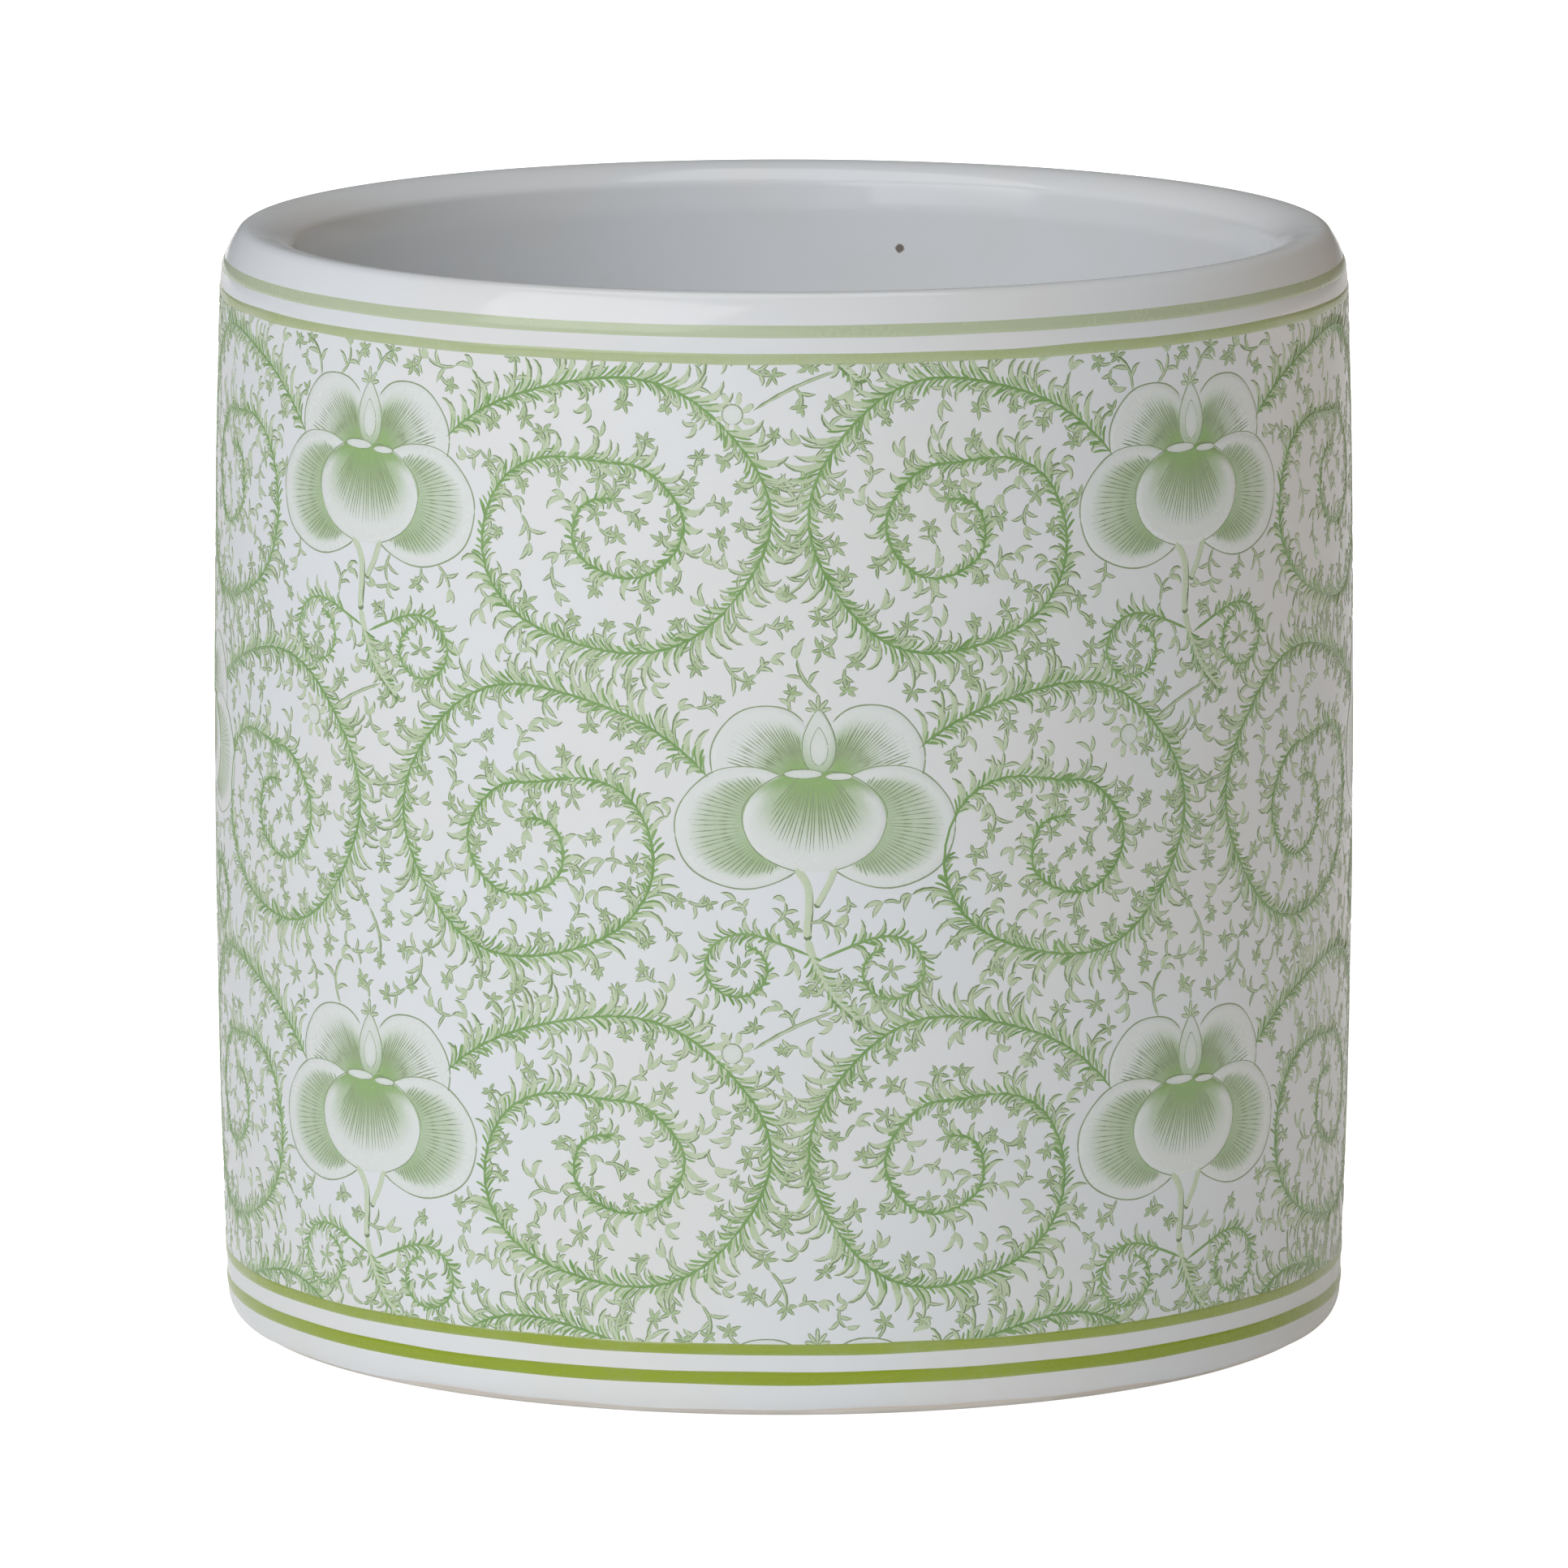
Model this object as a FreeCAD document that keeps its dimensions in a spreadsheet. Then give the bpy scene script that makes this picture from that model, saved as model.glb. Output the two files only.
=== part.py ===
import FreeCAD, Part
import math
import os

import Sketcher

# Brush holder pot: a straight porcelain cylinder with a slightly swelling side, a thick soft lip, a bare foot
# ring, a white glaze, and an enamelled scroll band between two pairs of ring lines.
# Millimetres. +Z is up, and the origin is the centre of the foot, on the surface that the pot stands on.
#
# The blank's section is drawn first. Every coat on it is the same section, grown by the coat's thickness.

DRIVING_SIZES = (
    ("blank_height", 159.6, "foot to the top of the lip, unglazed"),
    ("belly_radius", 82.2, "outside of the blank where it is widest"),
    ("belly_height", 83.0, "height of the widest place"),
    ("swell_radius", 2200.0, "curve of the side, seen in section"),
    ("shoulder_height", 151.9, "where the side starts to turn in to the lip"),
    ("shoulder_radius", 12.6, "curve of the outside below the lip"),
    ("lip_radius", 1.8, "curve of the lip's outer edge"),
    ("crest_radius", 8.8, "slope of the lip's top, towards the mouth"),
    ("mouth_edge_radius", 1.6, "curve of the mouth's inner edge"),
    ("mouth_edge_place", 72.7, "distance of that curve's centre from the axis"),
    ("bore_radius", 70.5, "inside of the blank's wall"),
    ("bore_height", 153.4, "where the mouth's bevel meets the straight bore"),
    ("floor_height", 9.6, "inside floor of the blank"),
    ("floor_round", 8.0, "curve between the floor and the wall"),
    ("foot_round", 4.6, "curve of the outer bottom edge"),
    ("foot_ring_radius", 70.0, "inner edge of the face that the pot stands on"),
    ("recess_radius", 66.0, "flat roof of the hollow under the pot"),
    ("recess_height", 3.5, "depth of the hollow under the pot"),
    ("glaze_thickness", 0.4, "white glaze on the blank"),
    ("glaze_hem_height", 1.5, "where the glaze ends above the foot"),
    ("core_height", 6.5, "a level inside the floor slab, below which the glaze section is closed"),
    ("core_radius", 74.0, "a radius inside the foot ring, within which the glaze section is closed"),
    ("base_glaze_radius", 65.0, "glazed disc in the hollow under the pot"),
    ("enamel_thickness", 0.12, "green colour on the glaze"),
    ("upper_rim_line_height", 154.9, "middle of the line nearest to the lip"),
    ("upper_rim_line_width", 1.7, "height of that line"),
    ("lower_rim_line_height", 151.1, "middle of the line above the scrolls"),
    ("lower_rim_line_width", 1.5, "height of that line"),
    ("upper_foot_line_height", 10.3, "middle of the line below the scrolls"),
    ("upper_foot_line_width", 1.6, "height of that line"),
    ("lower_foot_line_height", 6.1, "middle of the line nearest to the foot"),
    ("lower_foot_line_width", 1.9, "height of that line"),
)

doc = FreeCAD.newDocument("brush_holder_pot")
sheet = doc.addObject("Spreadsheet::Sheet", "Sizes")
for row, (alias, value, meaning) in enumerate(DRIVING_SIZES, start=1):
    sheet.set(f"A{row}", alias)
    sheet.set(f"B{row}", str(value))
    sheet.setAlias(f"B{row}", alias)
    sheet.set(f"C{row}", meaning)
doc.recompute()

# How far a surface stands out from the blank, as an expression on the sheet.
ON_BLANK = "0"
ON_GLAZE = "Sizes.glaze_thickness"
ON_ENAMEL = "Sizes.glaze_thickness + Sizes.enamel_thickness"

# The sketcher's numbers for the points of a line or arc, for the sketch's origin, and for its upright axis.
START, END, CENTRE = 1, 2, 3
ORIGIN = (-1, 1)
UPRIGHT_AXIS = -2


def size(alias):
    """The number that the sheet holds for a driving size."""
    return float(sheet.get(alias))


def growth(grow):
    """The number that one of the three growth expressions stands for."""
    glaze = size("glaze_thickness")
    return {ON_BLANK: 0.0, ON_GLAZE: glaze, ON_ENAMEL: glaze + size("enamel_thickness")}[grow]


def number(expression):
    """The number that a single size on the sheet, or a bare number, stands for."""
    return size(expression.removeprefix("Sizes.")) if expression.startswith("Sizes.") else float(expression)


def new_body(label):
    body = doc.addObject("PartDesign::Body", label)
    body.Label = label
    return body


def new_sketch(body, name, plane_role="XZ_Plane"):
    """An empty sketch on one of the body's own origin planes."""
    sketch = body.newObject("Sketcher::SketchObject", name)
    plane = next(item for item in body.Origin.OriginFeatures if item.Role == plane_role)
    sketch.AttachmentSupport = (plane, "")
    sketch.MapMode = "FlatFace"
    return sketch


def revolve(body, sketch, kind="PartDesign::Revolution"):
    """A full turn of the sketch about the pot's axis, added to the body or, as a groove, taken from it."""
    turn = body.newObject(kind, f"{sketch.Name}_turn")
    turn.Profile = sketch
    turn.ReferenceAxis = (sketch, ["V_Axis"])
    turn.Angle = 360.0
    sketch.Visibility = False
    return turn


def add_line(sketch, start, end):
    return sketch.addGeometry(Part.LineSegment(FreeCAD.Vector(*start, 0), FreeCAD.Vector(*end, 0)))


def add_arc(sketch, centre, radius, first, last, guide=False):
    """An arc that turns anticlockwise from the first angle to the last, in radians."""
    circle = Part.Circle(FreeCAD.Vector(*centre, 0), FreeCAD.Vector(0, 0, 1), radius)
    return sketch.addGeometry(Part.ArcOfCircle(circle, first, last), guide)


def drive_radius(sketch, arc, expression):
    index = sketch.addConstraint(Sketcher.Constraint("Radius", arc, sketch.Geometry[arc].Radius))
    sketch.setExpression(f"Constraints[{index}]", expression)


def drive_place(sketch, place, across=None, up=None):
    """Hold a point at a distance from the axis and at a height, both given as expressions."""
    point = sketch.getPoint(*place)
    for kind, now, expression in (("DistanceX", point.x, across), ("DistanceY", point.y, up)):
        if expression is not None:
            index = sketch.addConstraint(Sketcher.Constraint(kind, *ORIGIN, *place, now))
            sketch.setExpression(f"Constraints[{index}]", expression)


def meet(sketch, first, second):
    sketch.addConstraint(Sketcher.Constraint("Coincident", *first, *second))


def flow(sketch, first, second):
    """Two pieces of the outline meet at a point without a corner."""
    sketch.addConstraint(Sketcher.Constraint("Tangent", *first, *second))


def reach_tangent(centre, radius, far):
    """The angle at which a line from a far point, running down the mouth's side, touches a circle."""
    across = far[0] - centre[0]
    up = far[1] - centre[1]
    return math.atan2(up, across) % math.tau - math.acos(radius / math.hypot(across, up))


def draw_side(sketch, grow, guide=False):
    """The swelling side and the shoulder above it. Returns both arcs, the side first."""
    grown = growth(grow)
    swell = size("swell_radius")
    swell_centre = (size("belly_radius") - swell, size("belly_height"))
    foot_drop = size("foot_round") - size("belly_height")
    foot_angle = math.asin(foot_drop / (swell - size("foot_round")))
    shoulder_angle = math.asin((size("shoulder_height") - size("belly_height")) / (swell + grown))
    side = add_arc(sketch, swell_centre, swell + grown, foot_angle, shoulder_angle, guide)
    drive_radius(sketch, side, f"Sizes.swell_radius + {grow}")
    drive_place(sketch, (side, CENTRE), "Sizes.belly_radius - Sizes.swell_radius", "Sizes.belly_height")
    inward = swell - size("shoulder_radius")
    shoulder_centre = (
        swell_centre[0] + inward * math.cos(shoulder_angle),
        swell_centre[1] + inward * math.sin(shoulder_angle),
    )
    lip_rise = size("blank_height") - size("lip_radius") - shoulder_centre[1]
    lip_angle = math.asin(lip_rise / (size("shoulder_radius") - size("lip_radius")))
    shoulder = add_arc(
        sketch, shoulder_centre, size("shoulder_radius") + grown, shoulder_angle, lip_angle, guide
    )
    drive_radius(sketch, shoulder, f"Sizes.shoulder_radius + {grow}")
    flow(sketch, (side, END), (shoulder, START))
    drive_place(sketch, (shoulder, START), up="Sizes.shoulder_height")
    return side, shoulder


def draw_foot_edge(sketch, side, grow, hem_height=None):
    """The rounded outer bottom edge, down to the foot or to a hem above it. Returns its arc."""
    grown = growth(grow)
    wall_start = sketch.getPoint(side, START)
    radius = size("foot_round") + grown
    centre = (wall_start.x - radius, size("foot_round"))
    low = -math.pi / 2
    if hem_height is not None:
        low = math.asin((size("glaze_hem_height") - size("foot_round")) / radius)
    high = math.atan2(wall_start.y - centre[1], radius)
    edge = add_arc(sketch, centre, radius, low, high)
    drive_radius(sketch, edge, f"Sizes.foot_round + {grow}")
    flow(sketch, (edge, END), (side, START))
    drive_place(sketch, (edge, CENTRE), up="Sizes.foot_round")
    if hem_height is not None:
        drive_place(sketch, (edge, START), up=hem_height)
    return edge


def draw_lip(sketch, shoulder, grow):
    """From the shoulder over the lip to the inner edge of the mouth. Returns the last arc."""
    grown = growth(grow)
    shoulder_centre = sketch.getPoint(shoulder, CENTRE)
    lip_radius = size("lip_radius")
    lip_height = size("blank_height") - lip_radius
    gap = size("shoulder_radius") - lip_radius
    lip_angle = math.asin((lip_height - shoulder_centre.y) / gap)
    lip_centre = (shoulder_centre.x + gap * math.cos(lip_angle), lip_height)
    lip = add_arc(sketch, lip_centre, lip_radius + grown, lip_angle, math.pi / 2)
    drive_radius(sketch, lip, f"Sizes.lip_radius + {grow}")
    flow(sketch, (shoulder, END), (lip, START))
    drive_place(sketch, (lip, CENTRE), up="Sizes.blank_height - Sizes.lip_radius")

    crest_radius = size("crest_radius")
    crest_centre = (lip_centre[0], size("blank_height") - crest_radius)
    edge_radius = size("mouth_edge_radius")
    inward = size("mouth_edge_place") - crest_centre[0]
    edge_angle = math.acos(inward / (crest_radius - edge_radius))
    crest = add_arc(sketch, crest_centre, crest_radius + grown, math.pi / 2, edge_angle)
    drive_radius(sketch, crest, f"Sizes.crest_radius + {grow}")
    flow(sketch, (lip, END), (crest, START))
    sketch.addConstraint(Sketcher.Constraint("Vertical", lip, CENTRE, crest, CENTRE))

    edge_centre = (
        size("mouth_edge_place"),
        crest_centre[1] + (crest_radius - edge_radius) * math.sin(edge_angle),
    )
    bore_top = (size("bore_radius") - grown, size("bore_height"))
    bevel_angle = reach_tangent(edge_centre, edge_radius + grown, bore_top)
    edge = add_arc(sketch, edge_centre, edge_radius + grown, edge_angle, bevel_angle)
    drive_radius(sketch, edge, f"Sizes.mouth_edge_radius + {grow}")
    flow(sketch, (crest, END), (edge, START))
    drive_place(sketch, (edge, CENTRE), across="Sizes.mouth_edge_place")
    return edge


def draw_inside(sketch, edge, grow):
    """Down the bevel and the bore, round into the floor and to the axis. Returns the floor's line."""
    grown = growth(grow)
    bore = size("bore_radius") - grown
    bevel_top = sketch.getPoint(edge, END)
    bevel = add_line(sketch, (bevel_top.x, bevel_top.y), (bore, size("bore_height")))
    flow(sketch, (edge, END), (bevel, START))
    drive_place(sketch, (bevel, END), f"Sizes.bore_radius - ({grow})", "Sizes.bore_height")

    corner_height = size("floor_height") + size("floor_round")
    wall = add_line(sketch, (bore, size("bore_height")), (bore, corner_height))
    meet(sketch, (bevel, END), (wall, START))
    sketch.addConstraint(Sketcher.Constraint("Vertical", wall))

    corner_centre = (size("bore_radius") - size("floor_round"), corner_height)
    corner = add_arc(sketch, corner_centre, size("floor_round") - grown, -math.pi / 2, 0.0)
    drive_radius(sketch, corner, f"Sizes.floor_round - ({grow})")
    flow(sketch, (wall, END), (corner, END))

    floor_height = size("floor_height") + grown
    floor = add_line(sketch, (corner_centre[0], floor_height), (0.0, floor_height))
    flow(sketch, (corner, START), (floor, START))
    sketch.addConstraint(Sketcher.Constraint("Horizontal", floor))
    drive_place(sketch, (floor, END), up=f"Sizes.floor_height + {grow}")
    sketch.addConstraint(Sketcher.Constraint("PointOnObject", floor, END, UPRIGHT_AXIS))
    return floor


def close_section(sketch, floor, corners, foot_edge, smooth_end):
    """From the floor's middle down the axis and through the corners to the foot edge's lower end."""
    last = (floor, END)
    for across, up in corners:
        here = sketch.getPoint(*last)
        line = add_line(sketch, (here.x, here.y), (number(across), number(up)))
        meet(sketch, last, (line, START))
        drive_place(sketch, (line, END), across, up)
        last = (line, END)
    here = sketch.getPoint(*last)
    foot_start = sketch.getPoint(foot_edge, START)
    line = add_line(sketch, (here.x, here.y), (foot_start.x, foot_start.y))
    meet(sketch, last, (line, START))
    if smooth_end:
        flow(sketch, (line, END), (foot_edge, START))
    else:
        meet(sketch, (line, END), (foot_edge, START))


def draw_blank_section(body, name):
    """Half the section of the unglazed pot."""
    sketch = new_sketch(body, name)
    side, shoulder = draw_side(sketch, ON_BLANK)
    foot_edge = draw_foot_edge(sketch, side, ON_BLANK)
    floor = draw_inside(sketch, draw_lip(sketch, shoulder, ON_BLANK), ON_BLANK)
    corners = (
        ("0", "Sizes.recess_height"),
        ("Sizes.recess_radius", "Sizes.recess_height"),
        ("Sizes.foot_ring_radius", "0"),
    )
    close_section(sketch, floor, corners, foot_edge, smooth_end=True)
    return sketch


def make_porcelain_body():
    """The thrown and fired blank: wall, floor and foot ring in one."""
    body = new_body("porcelain_body")
    revolve(body, draw_blank_section(body, "blank_section"))
    return body


def make_glaze_coat():
    """The white glaze: one coat up the outside, over the lip, down the bore and across the floor."""
    body = new_body("glaze_coat")
    sketch = new_sketch(body, "glazed_section")
    side, shoulder = draw_side(sketch, ON_GLAZE)
    foot_edge = draw_foot_edge(sketch, side, ON_GLAZE, "Sizes.glaze_hem_height")
    floor = draw_inside(sketch, draw_lip(sketch, shoulder, ON_GLAZE), ON_GLAZE)
    corners = (
        ("0", "Sizes.core_height"),
        ("Sizes.core_radius", "Sizes.core_height"),
        ("Sizes.core_radius", "Sizes.glaze_hem_height"),
    )
    close_section(sketch, floor, corners, foot_edge, smooth_end=False)
    revolve(body, sketch)
    revolve(body, draw_blank_section(body, "blank_to_take_away"), "PartDesign::Groove")
    return body


def make_base_glaze():
    """The glazed disc on the roof of the hollow under the pot."""
    body = new_body("base_glaze")
    sketch = new_sketch(body, "base_glaze_outline", "XY_Plane")
    disc = sketch.addGeometry(Part.Circle(FreeCAD.Vector(), FreeCAD.Vector(0, 0, 1), size("base_glaze_radius")))
    meet(sketch, (disc, CENTRE), ORIGIN)
    drive_radius(sketch, disc, "Sizes.base_glaze_radius")
    pad = body.newObject("PartDesign::Pad", "base_glaze_pad")
    pad.Profile = sketch
    pad.setExpression("Length", "Sizes.glaze_thickness")
    body.setExpression("Placement.Base.z", "Sizes.recess_height - Sizes.glaze_thickness")
    sketch.Visibility = False
    return body


def draw_side_face(sketch, grow, low, high):
    """An upright face on the swelling side, between two heights. Returns its arc."""
    centre = (size("belly_radius") - size("swell_radius"), size("belly_height"))
    radius = size("swell_radius") + growth(grow)
    first, last = (math.asin((height - centre[1]) / radius) for height in (low, high))
    face = add_arc(sketch, centre, radius, first, last)
    drive_radius(sketch, face, f"Sizes.swell_radius + {grow}")
    drive_place(sketch, (face, CENTRE), "Sizes.belly_radius - Sizes.swell_radius", "Sizes.belly_height")
    return face


def draw_shoulder_face(sketch, grow, low, high):
    """An upright face on the shoulder, between two heights. Returns its arc."""
    shoulder = draw_side(sketch, grow, guide=True)[1]
    centre = sketch.getPoint(shoulder, CENTRE)
    radius = size("shoulder_radius") + growth(grow)
    first, last = (math.asin((height - centre.y) / radius) for height in (low, high))
    face = add_arc(sketch, (centre.x, centre.y), radius, first, last)
    drive_radius(sketch, face, f"Sizes.shoulder_radius + {grow}")
    meet(sketch, (face, CENTRE), (shoulder, CENTRE))
    return face


def make_enamel_ring(label, low, high, draw_face=draw_side_face):
    """A ring of enamel on the glaze. low and high are its edges, each an expression and its number."""
    body = new_body(label)
    sketch = new_sketch(body, f"{label}_section")
    faces = [draw_face(sketch, grow, low[1], high[1]) for grow in (ON_GLAZE, ON_ENAMEL)]
    for end, height in ((START, low[0]), (END, high[0])):
        for face in faces:
            drive_place(sketch, (face, end), up=height)
        inner, outer = (sketch.getPoint(face, end) for face in faces)
        edge = add_line(sketch, (inner.x, inner.y), (outer.x, outer.y))
        meet(sketch, (edge, START), (faces[0], end))
        meet(sketch, (edge, END), (faces[1], end))
    revolve(body, sketch)
    return body


def line_edge(name, side):
    """The lower (-1) or upper (+1) edge of a ring line: its expression and its number."""
    sign = "+" if side > 0 else "-"
    expression = f"Sizes.{name}_height {sign} Sizes.{name}_width / 2"
    return expression, size(f"{name}_height") + side * size(f"{name}_width") / 2


def make_ring_line(name, draw_face=draw_side_face):
    return make_enamel_ring(name, line_edge(name, -1), line_edge(name, +1), draw_face)


def make_scroll_band():
    """The printed band of scrolls and flowers, from the foot lines to the rim lines."""
    return make_enamel_ring("scroll_band", line_edge("upper_foot_line", +1), line_edge("lower_rim_line", -1))


nodes = [
    make_porcelain_body(),
    make_glaze_coat(),
    make_base_glaze(),
    make_ring_line("upper_rim_line", draw_shoulder_face),
    make_ring_line("lower_rim_line"),
    make_scroll_band(),
    make_ring_line("upper_foot_line"),
    make_ring_line("lower_foot_line"),
]
doc.recompute()

failed = [item.Name for item in doc.Objects if "Invalid" in item.State or "Error" in item.State]
if failed:
    raise RuntimeError(f"these did not recompute: {failed}")
for node in nodes:
    if node.Shape.isNull() or not node.Shape.isValid() or len(node.Shape.Solids) != 1:
        raise RuntimeError(f"{node.Label} is not one valid solid")

os.makedirs("parts", exist_ok=True)
for node in nodes:
    node.Shape.exportStep(f"parts/{node.Label}.step")
    box = node.Shape.optimalBoundingBox(False)
    print(f"{node.Label}: {node.Shape.Volume:.0f} mm3, {box.XLength:.2f} mm across,"
          f" z {box.ZMin:.2f} to {box.ZMax:.2f}")
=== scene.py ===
"""Brush holder pot: white glazed porcelain with green enamel scrolls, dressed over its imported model."""
import math
import random

import bmesh
import bpy
import numpy as np
from bpy.props import FloatProperty, FloatVectorProperty, IntProperty, PointerProperty
from mathutils import Matrix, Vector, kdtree


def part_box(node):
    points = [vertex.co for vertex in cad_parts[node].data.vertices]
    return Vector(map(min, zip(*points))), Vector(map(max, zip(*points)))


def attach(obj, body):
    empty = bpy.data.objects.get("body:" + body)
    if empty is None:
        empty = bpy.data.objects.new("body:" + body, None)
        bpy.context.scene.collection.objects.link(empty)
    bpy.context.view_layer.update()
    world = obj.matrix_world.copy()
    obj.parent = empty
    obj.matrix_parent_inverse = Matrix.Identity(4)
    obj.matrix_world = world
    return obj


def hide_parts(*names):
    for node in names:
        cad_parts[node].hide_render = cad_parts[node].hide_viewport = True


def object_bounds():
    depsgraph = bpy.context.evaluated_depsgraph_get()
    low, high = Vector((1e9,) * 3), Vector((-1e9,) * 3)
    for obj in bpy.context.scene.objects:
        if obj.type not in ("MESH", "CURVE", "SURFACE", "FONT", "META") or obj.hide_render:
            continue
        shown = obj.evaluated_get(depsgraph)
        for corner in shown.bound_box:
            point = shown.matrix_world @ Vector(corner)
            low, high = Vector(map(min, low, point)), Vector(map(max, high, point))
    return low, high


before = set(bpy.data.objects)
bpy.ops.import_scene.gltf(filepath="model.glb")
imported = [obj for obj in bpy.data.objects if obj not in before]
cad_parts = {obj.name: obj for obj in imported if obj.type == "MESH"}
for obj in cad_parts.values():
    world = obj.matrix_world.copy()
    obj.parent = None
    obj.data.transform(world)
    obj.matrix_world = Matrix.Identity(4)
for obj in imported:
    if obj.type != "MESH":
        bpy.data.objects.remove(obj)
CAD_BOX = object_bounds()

bl_info = {
    "name": "Brush Holder Pot",
    "version": (1, 0, 0),
    "blender": (4, 5, 0),
    "location": "View3D > Sidebar > Brush Pot",
    "description": "Throws, glazes and decorates a porcelain brush pot over its packed model",
    "category": "Object",
}

MM = 0.001
FULL_TURN = 2.0 * math.pi
SEAM_GAP = 1e-6
QUARTERS = 4

BAND_LOW, BAND_HIGH = (corner.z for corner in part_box("scroll_band"))
POT_HEIGHT = CAD_BOX[1].z
BASE_DISC_LOW, BASE_DISC_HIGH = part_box("base_glaze")
RING_LINES = ("upper_rim_line", "lower_rim_line", "upper_foot_line", "lower_foot_line")

# ------------------------------------------------------------------ settings


def length(name, description, default):
    """A length that a user can change, kept in metres."""
    return FloatProperty(name=name, description=description, default=default, min=0.0, precision=5,
                         subtype="DISTANCE", unit="LENGTH")


def turn(name, description, degrees):
    """An angle that a user can change, shown in degrees."""
    return FloatProperty(name=name, description=description, default=math.radians(degrees), subtype="ANGLE")


def paint(name, description, default):
    """A colour that a user can change."""
    return FloatVectorProperty(name=name, description=description, default=default, size=3,
                               min=0.0, max=1.0, subtype="COLOR")


def amount(name, description, default):
    """A plain share or strength. Past 1 it has to be typed in."""
    return FloatProperty(name=name, description=description, default=default, min=0.0, subtype="FACTOR",
                         soft_max=1.0, max=10000.0)


def power(name, description, default):
    """The power of a light, in watts."""
    return FloatProperty(name=name, description=description, default=default, min=0.0, unit="POWER")


class POT_PG_form(bpy.types.PropertyGroup):
    """Sizes of the thrown pot."""

    belly_radius: length("Belly radius", "Outside radius at the widest height, over the glaze", 82.6 * MM)
    belly_height: length("Belly height", "Height at which the pot is widest", 83.0 * MM)
    side_bend: length("Side bend", "Radius of the long curve of the side", 2200.4 * MM)
    foot_radius: length("Foot edge centre", "Distance from the axis to the centre of the foot's round edge",
                        76.2 * MM)
    foot_roll: length("Foot edge round", "Radius of the foot's round edge, over the glaze", 5.0 * MM)
    hem_height: length("Glaze hem", "Height at which the glaze ends above the foot", 1.5 * MM)
    foot_inside: length("Foot ring inside", "Inner radius of the bare foot ring", 70.0 * MM)
    recess_radius: length("Recess radius", "Radius of the flat roof in the hollow under the pot", 66.0 * MM)
    recess_depth: length("Recess depth", "Height of the hollow under the pot", 3.5 * MM)
    bore_radius: length("Bore radius", "Inside radius, over the glaze", 70.1 * MM)
    floor_height: length("Floor height", "Height of the inside floor, over the glaze", 10.0 * MM)
    floor_round: length("Floor corner", "Radius of the corner between wall and floor", 7.6 * MM)
    glaze_thickness: length("Glaze thickness", "Thickness of the glaze coat", 0.4 * MM)
    steps_round: IntProperty(name="Steps round", description="Facets round the pot", default=256, min=32)


class POT_PG_enamel(bpy.types.PropertyGroup):
    """Sizes of the enamel drawing."""

    thickness: length("Enamel thickness", "How far the thickest enamel stands on the glaze", 0.115 * MM)
    bed: length("Enamel bed", "How deep the enamel has sunk into the glaze", 0.03 * MM)
    repeat_height: length("Repeat height", "Height after which the drawing repeats", 90.5 * MM)
    spiral_radius: length("Spiral radius", "Reach of a scroll's outer turn", 20.3 * MM)
    stem_width: length("Stem width", "Width of a scroll's stem", 0.62 * MM)
    leaf_spacing: length("Leaf spacing", "Distance between neighbouring leaves on a stem", 0.9 * MM)
    leaf_length: length("Leaf length", "Length of a middling leaf", 3.5 * MM)
    leaf_width: length("Leaf width", "Width of a leaf with its outline", 1.15 * MM)
    outline: length("Outline", "Width of the dark line round leaves and petals", 0.19 * MM)
    open_ground: length("Open ground", "Clear distance past which the ground gets another sprig", 1.95 * MM)
    seed: IntProperty(name="Seed", description="Start of the random draws", default=11, min=0)


class POT_PG_colours(bpy.types.PropertyGroup):
    """Colours of clay, glaze and enamel."""

    glaze: paint("Glaze", "White glaze with its faint cold cast", (0.80, 0.83, 0.87))
    glaze_thin: paint("Thin glaze", "Glaze where it ran thin over edges", (0.80, 0.81, 0.82))
    iron: paint("Iron speck", "Small iron specks in the glaze", (0.16, 0.12, 0.09))
    biscuit: paint("Biscuit", "Bare fired clay of the foot", (0.86, 0.83, 0.79))
    biscuit_flash: paint("Flashing", "Warm edge of the clay beside the glaze", (0.80, 0.68, 0.60))
    line_thick: paint("Line, thick", "Green of the ring lines where the enamel is thick", (0.30, 0.39, 0.012))
    line_thin: paint("Line, thin", "Green of the ring lines where the enamel is thin", (0.53, 0.60, 0.42))
    outline_dark: paint("Outline, dark", "Darkest green of the drawn outlines", (0.17, 0.25, 0.11))
    outline_soft: paint("Outline, soft", "Softest green of the drawn outlines", (0.34, 0.42, 0.26))
    stem_dark: paint("Stem, dark", "Darker green of the stems", (0.16, 0.32, 0.08))
    stem_soft: paint("Stem, soft", "Softer green of the stems", (0.31, 0.48, 0.20))
    leaf_thick: paint("Leaf, thick", "Green filling of a leaf at its root", (0.40, 0.53, 0.29))
    leaf_thin: paint("Leaf, thin", "Pale filling of a leaf at its tip", (0.61, 0.70, 0.52))
    petal_root: paint("Petal root", "Green wash at the root of a petal", (0.30, 0.47, 0.18))
    petal_rim: paint("Petal rim", "Pale rim of a petal", (0.78, 0.82, 0.81))


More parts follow.
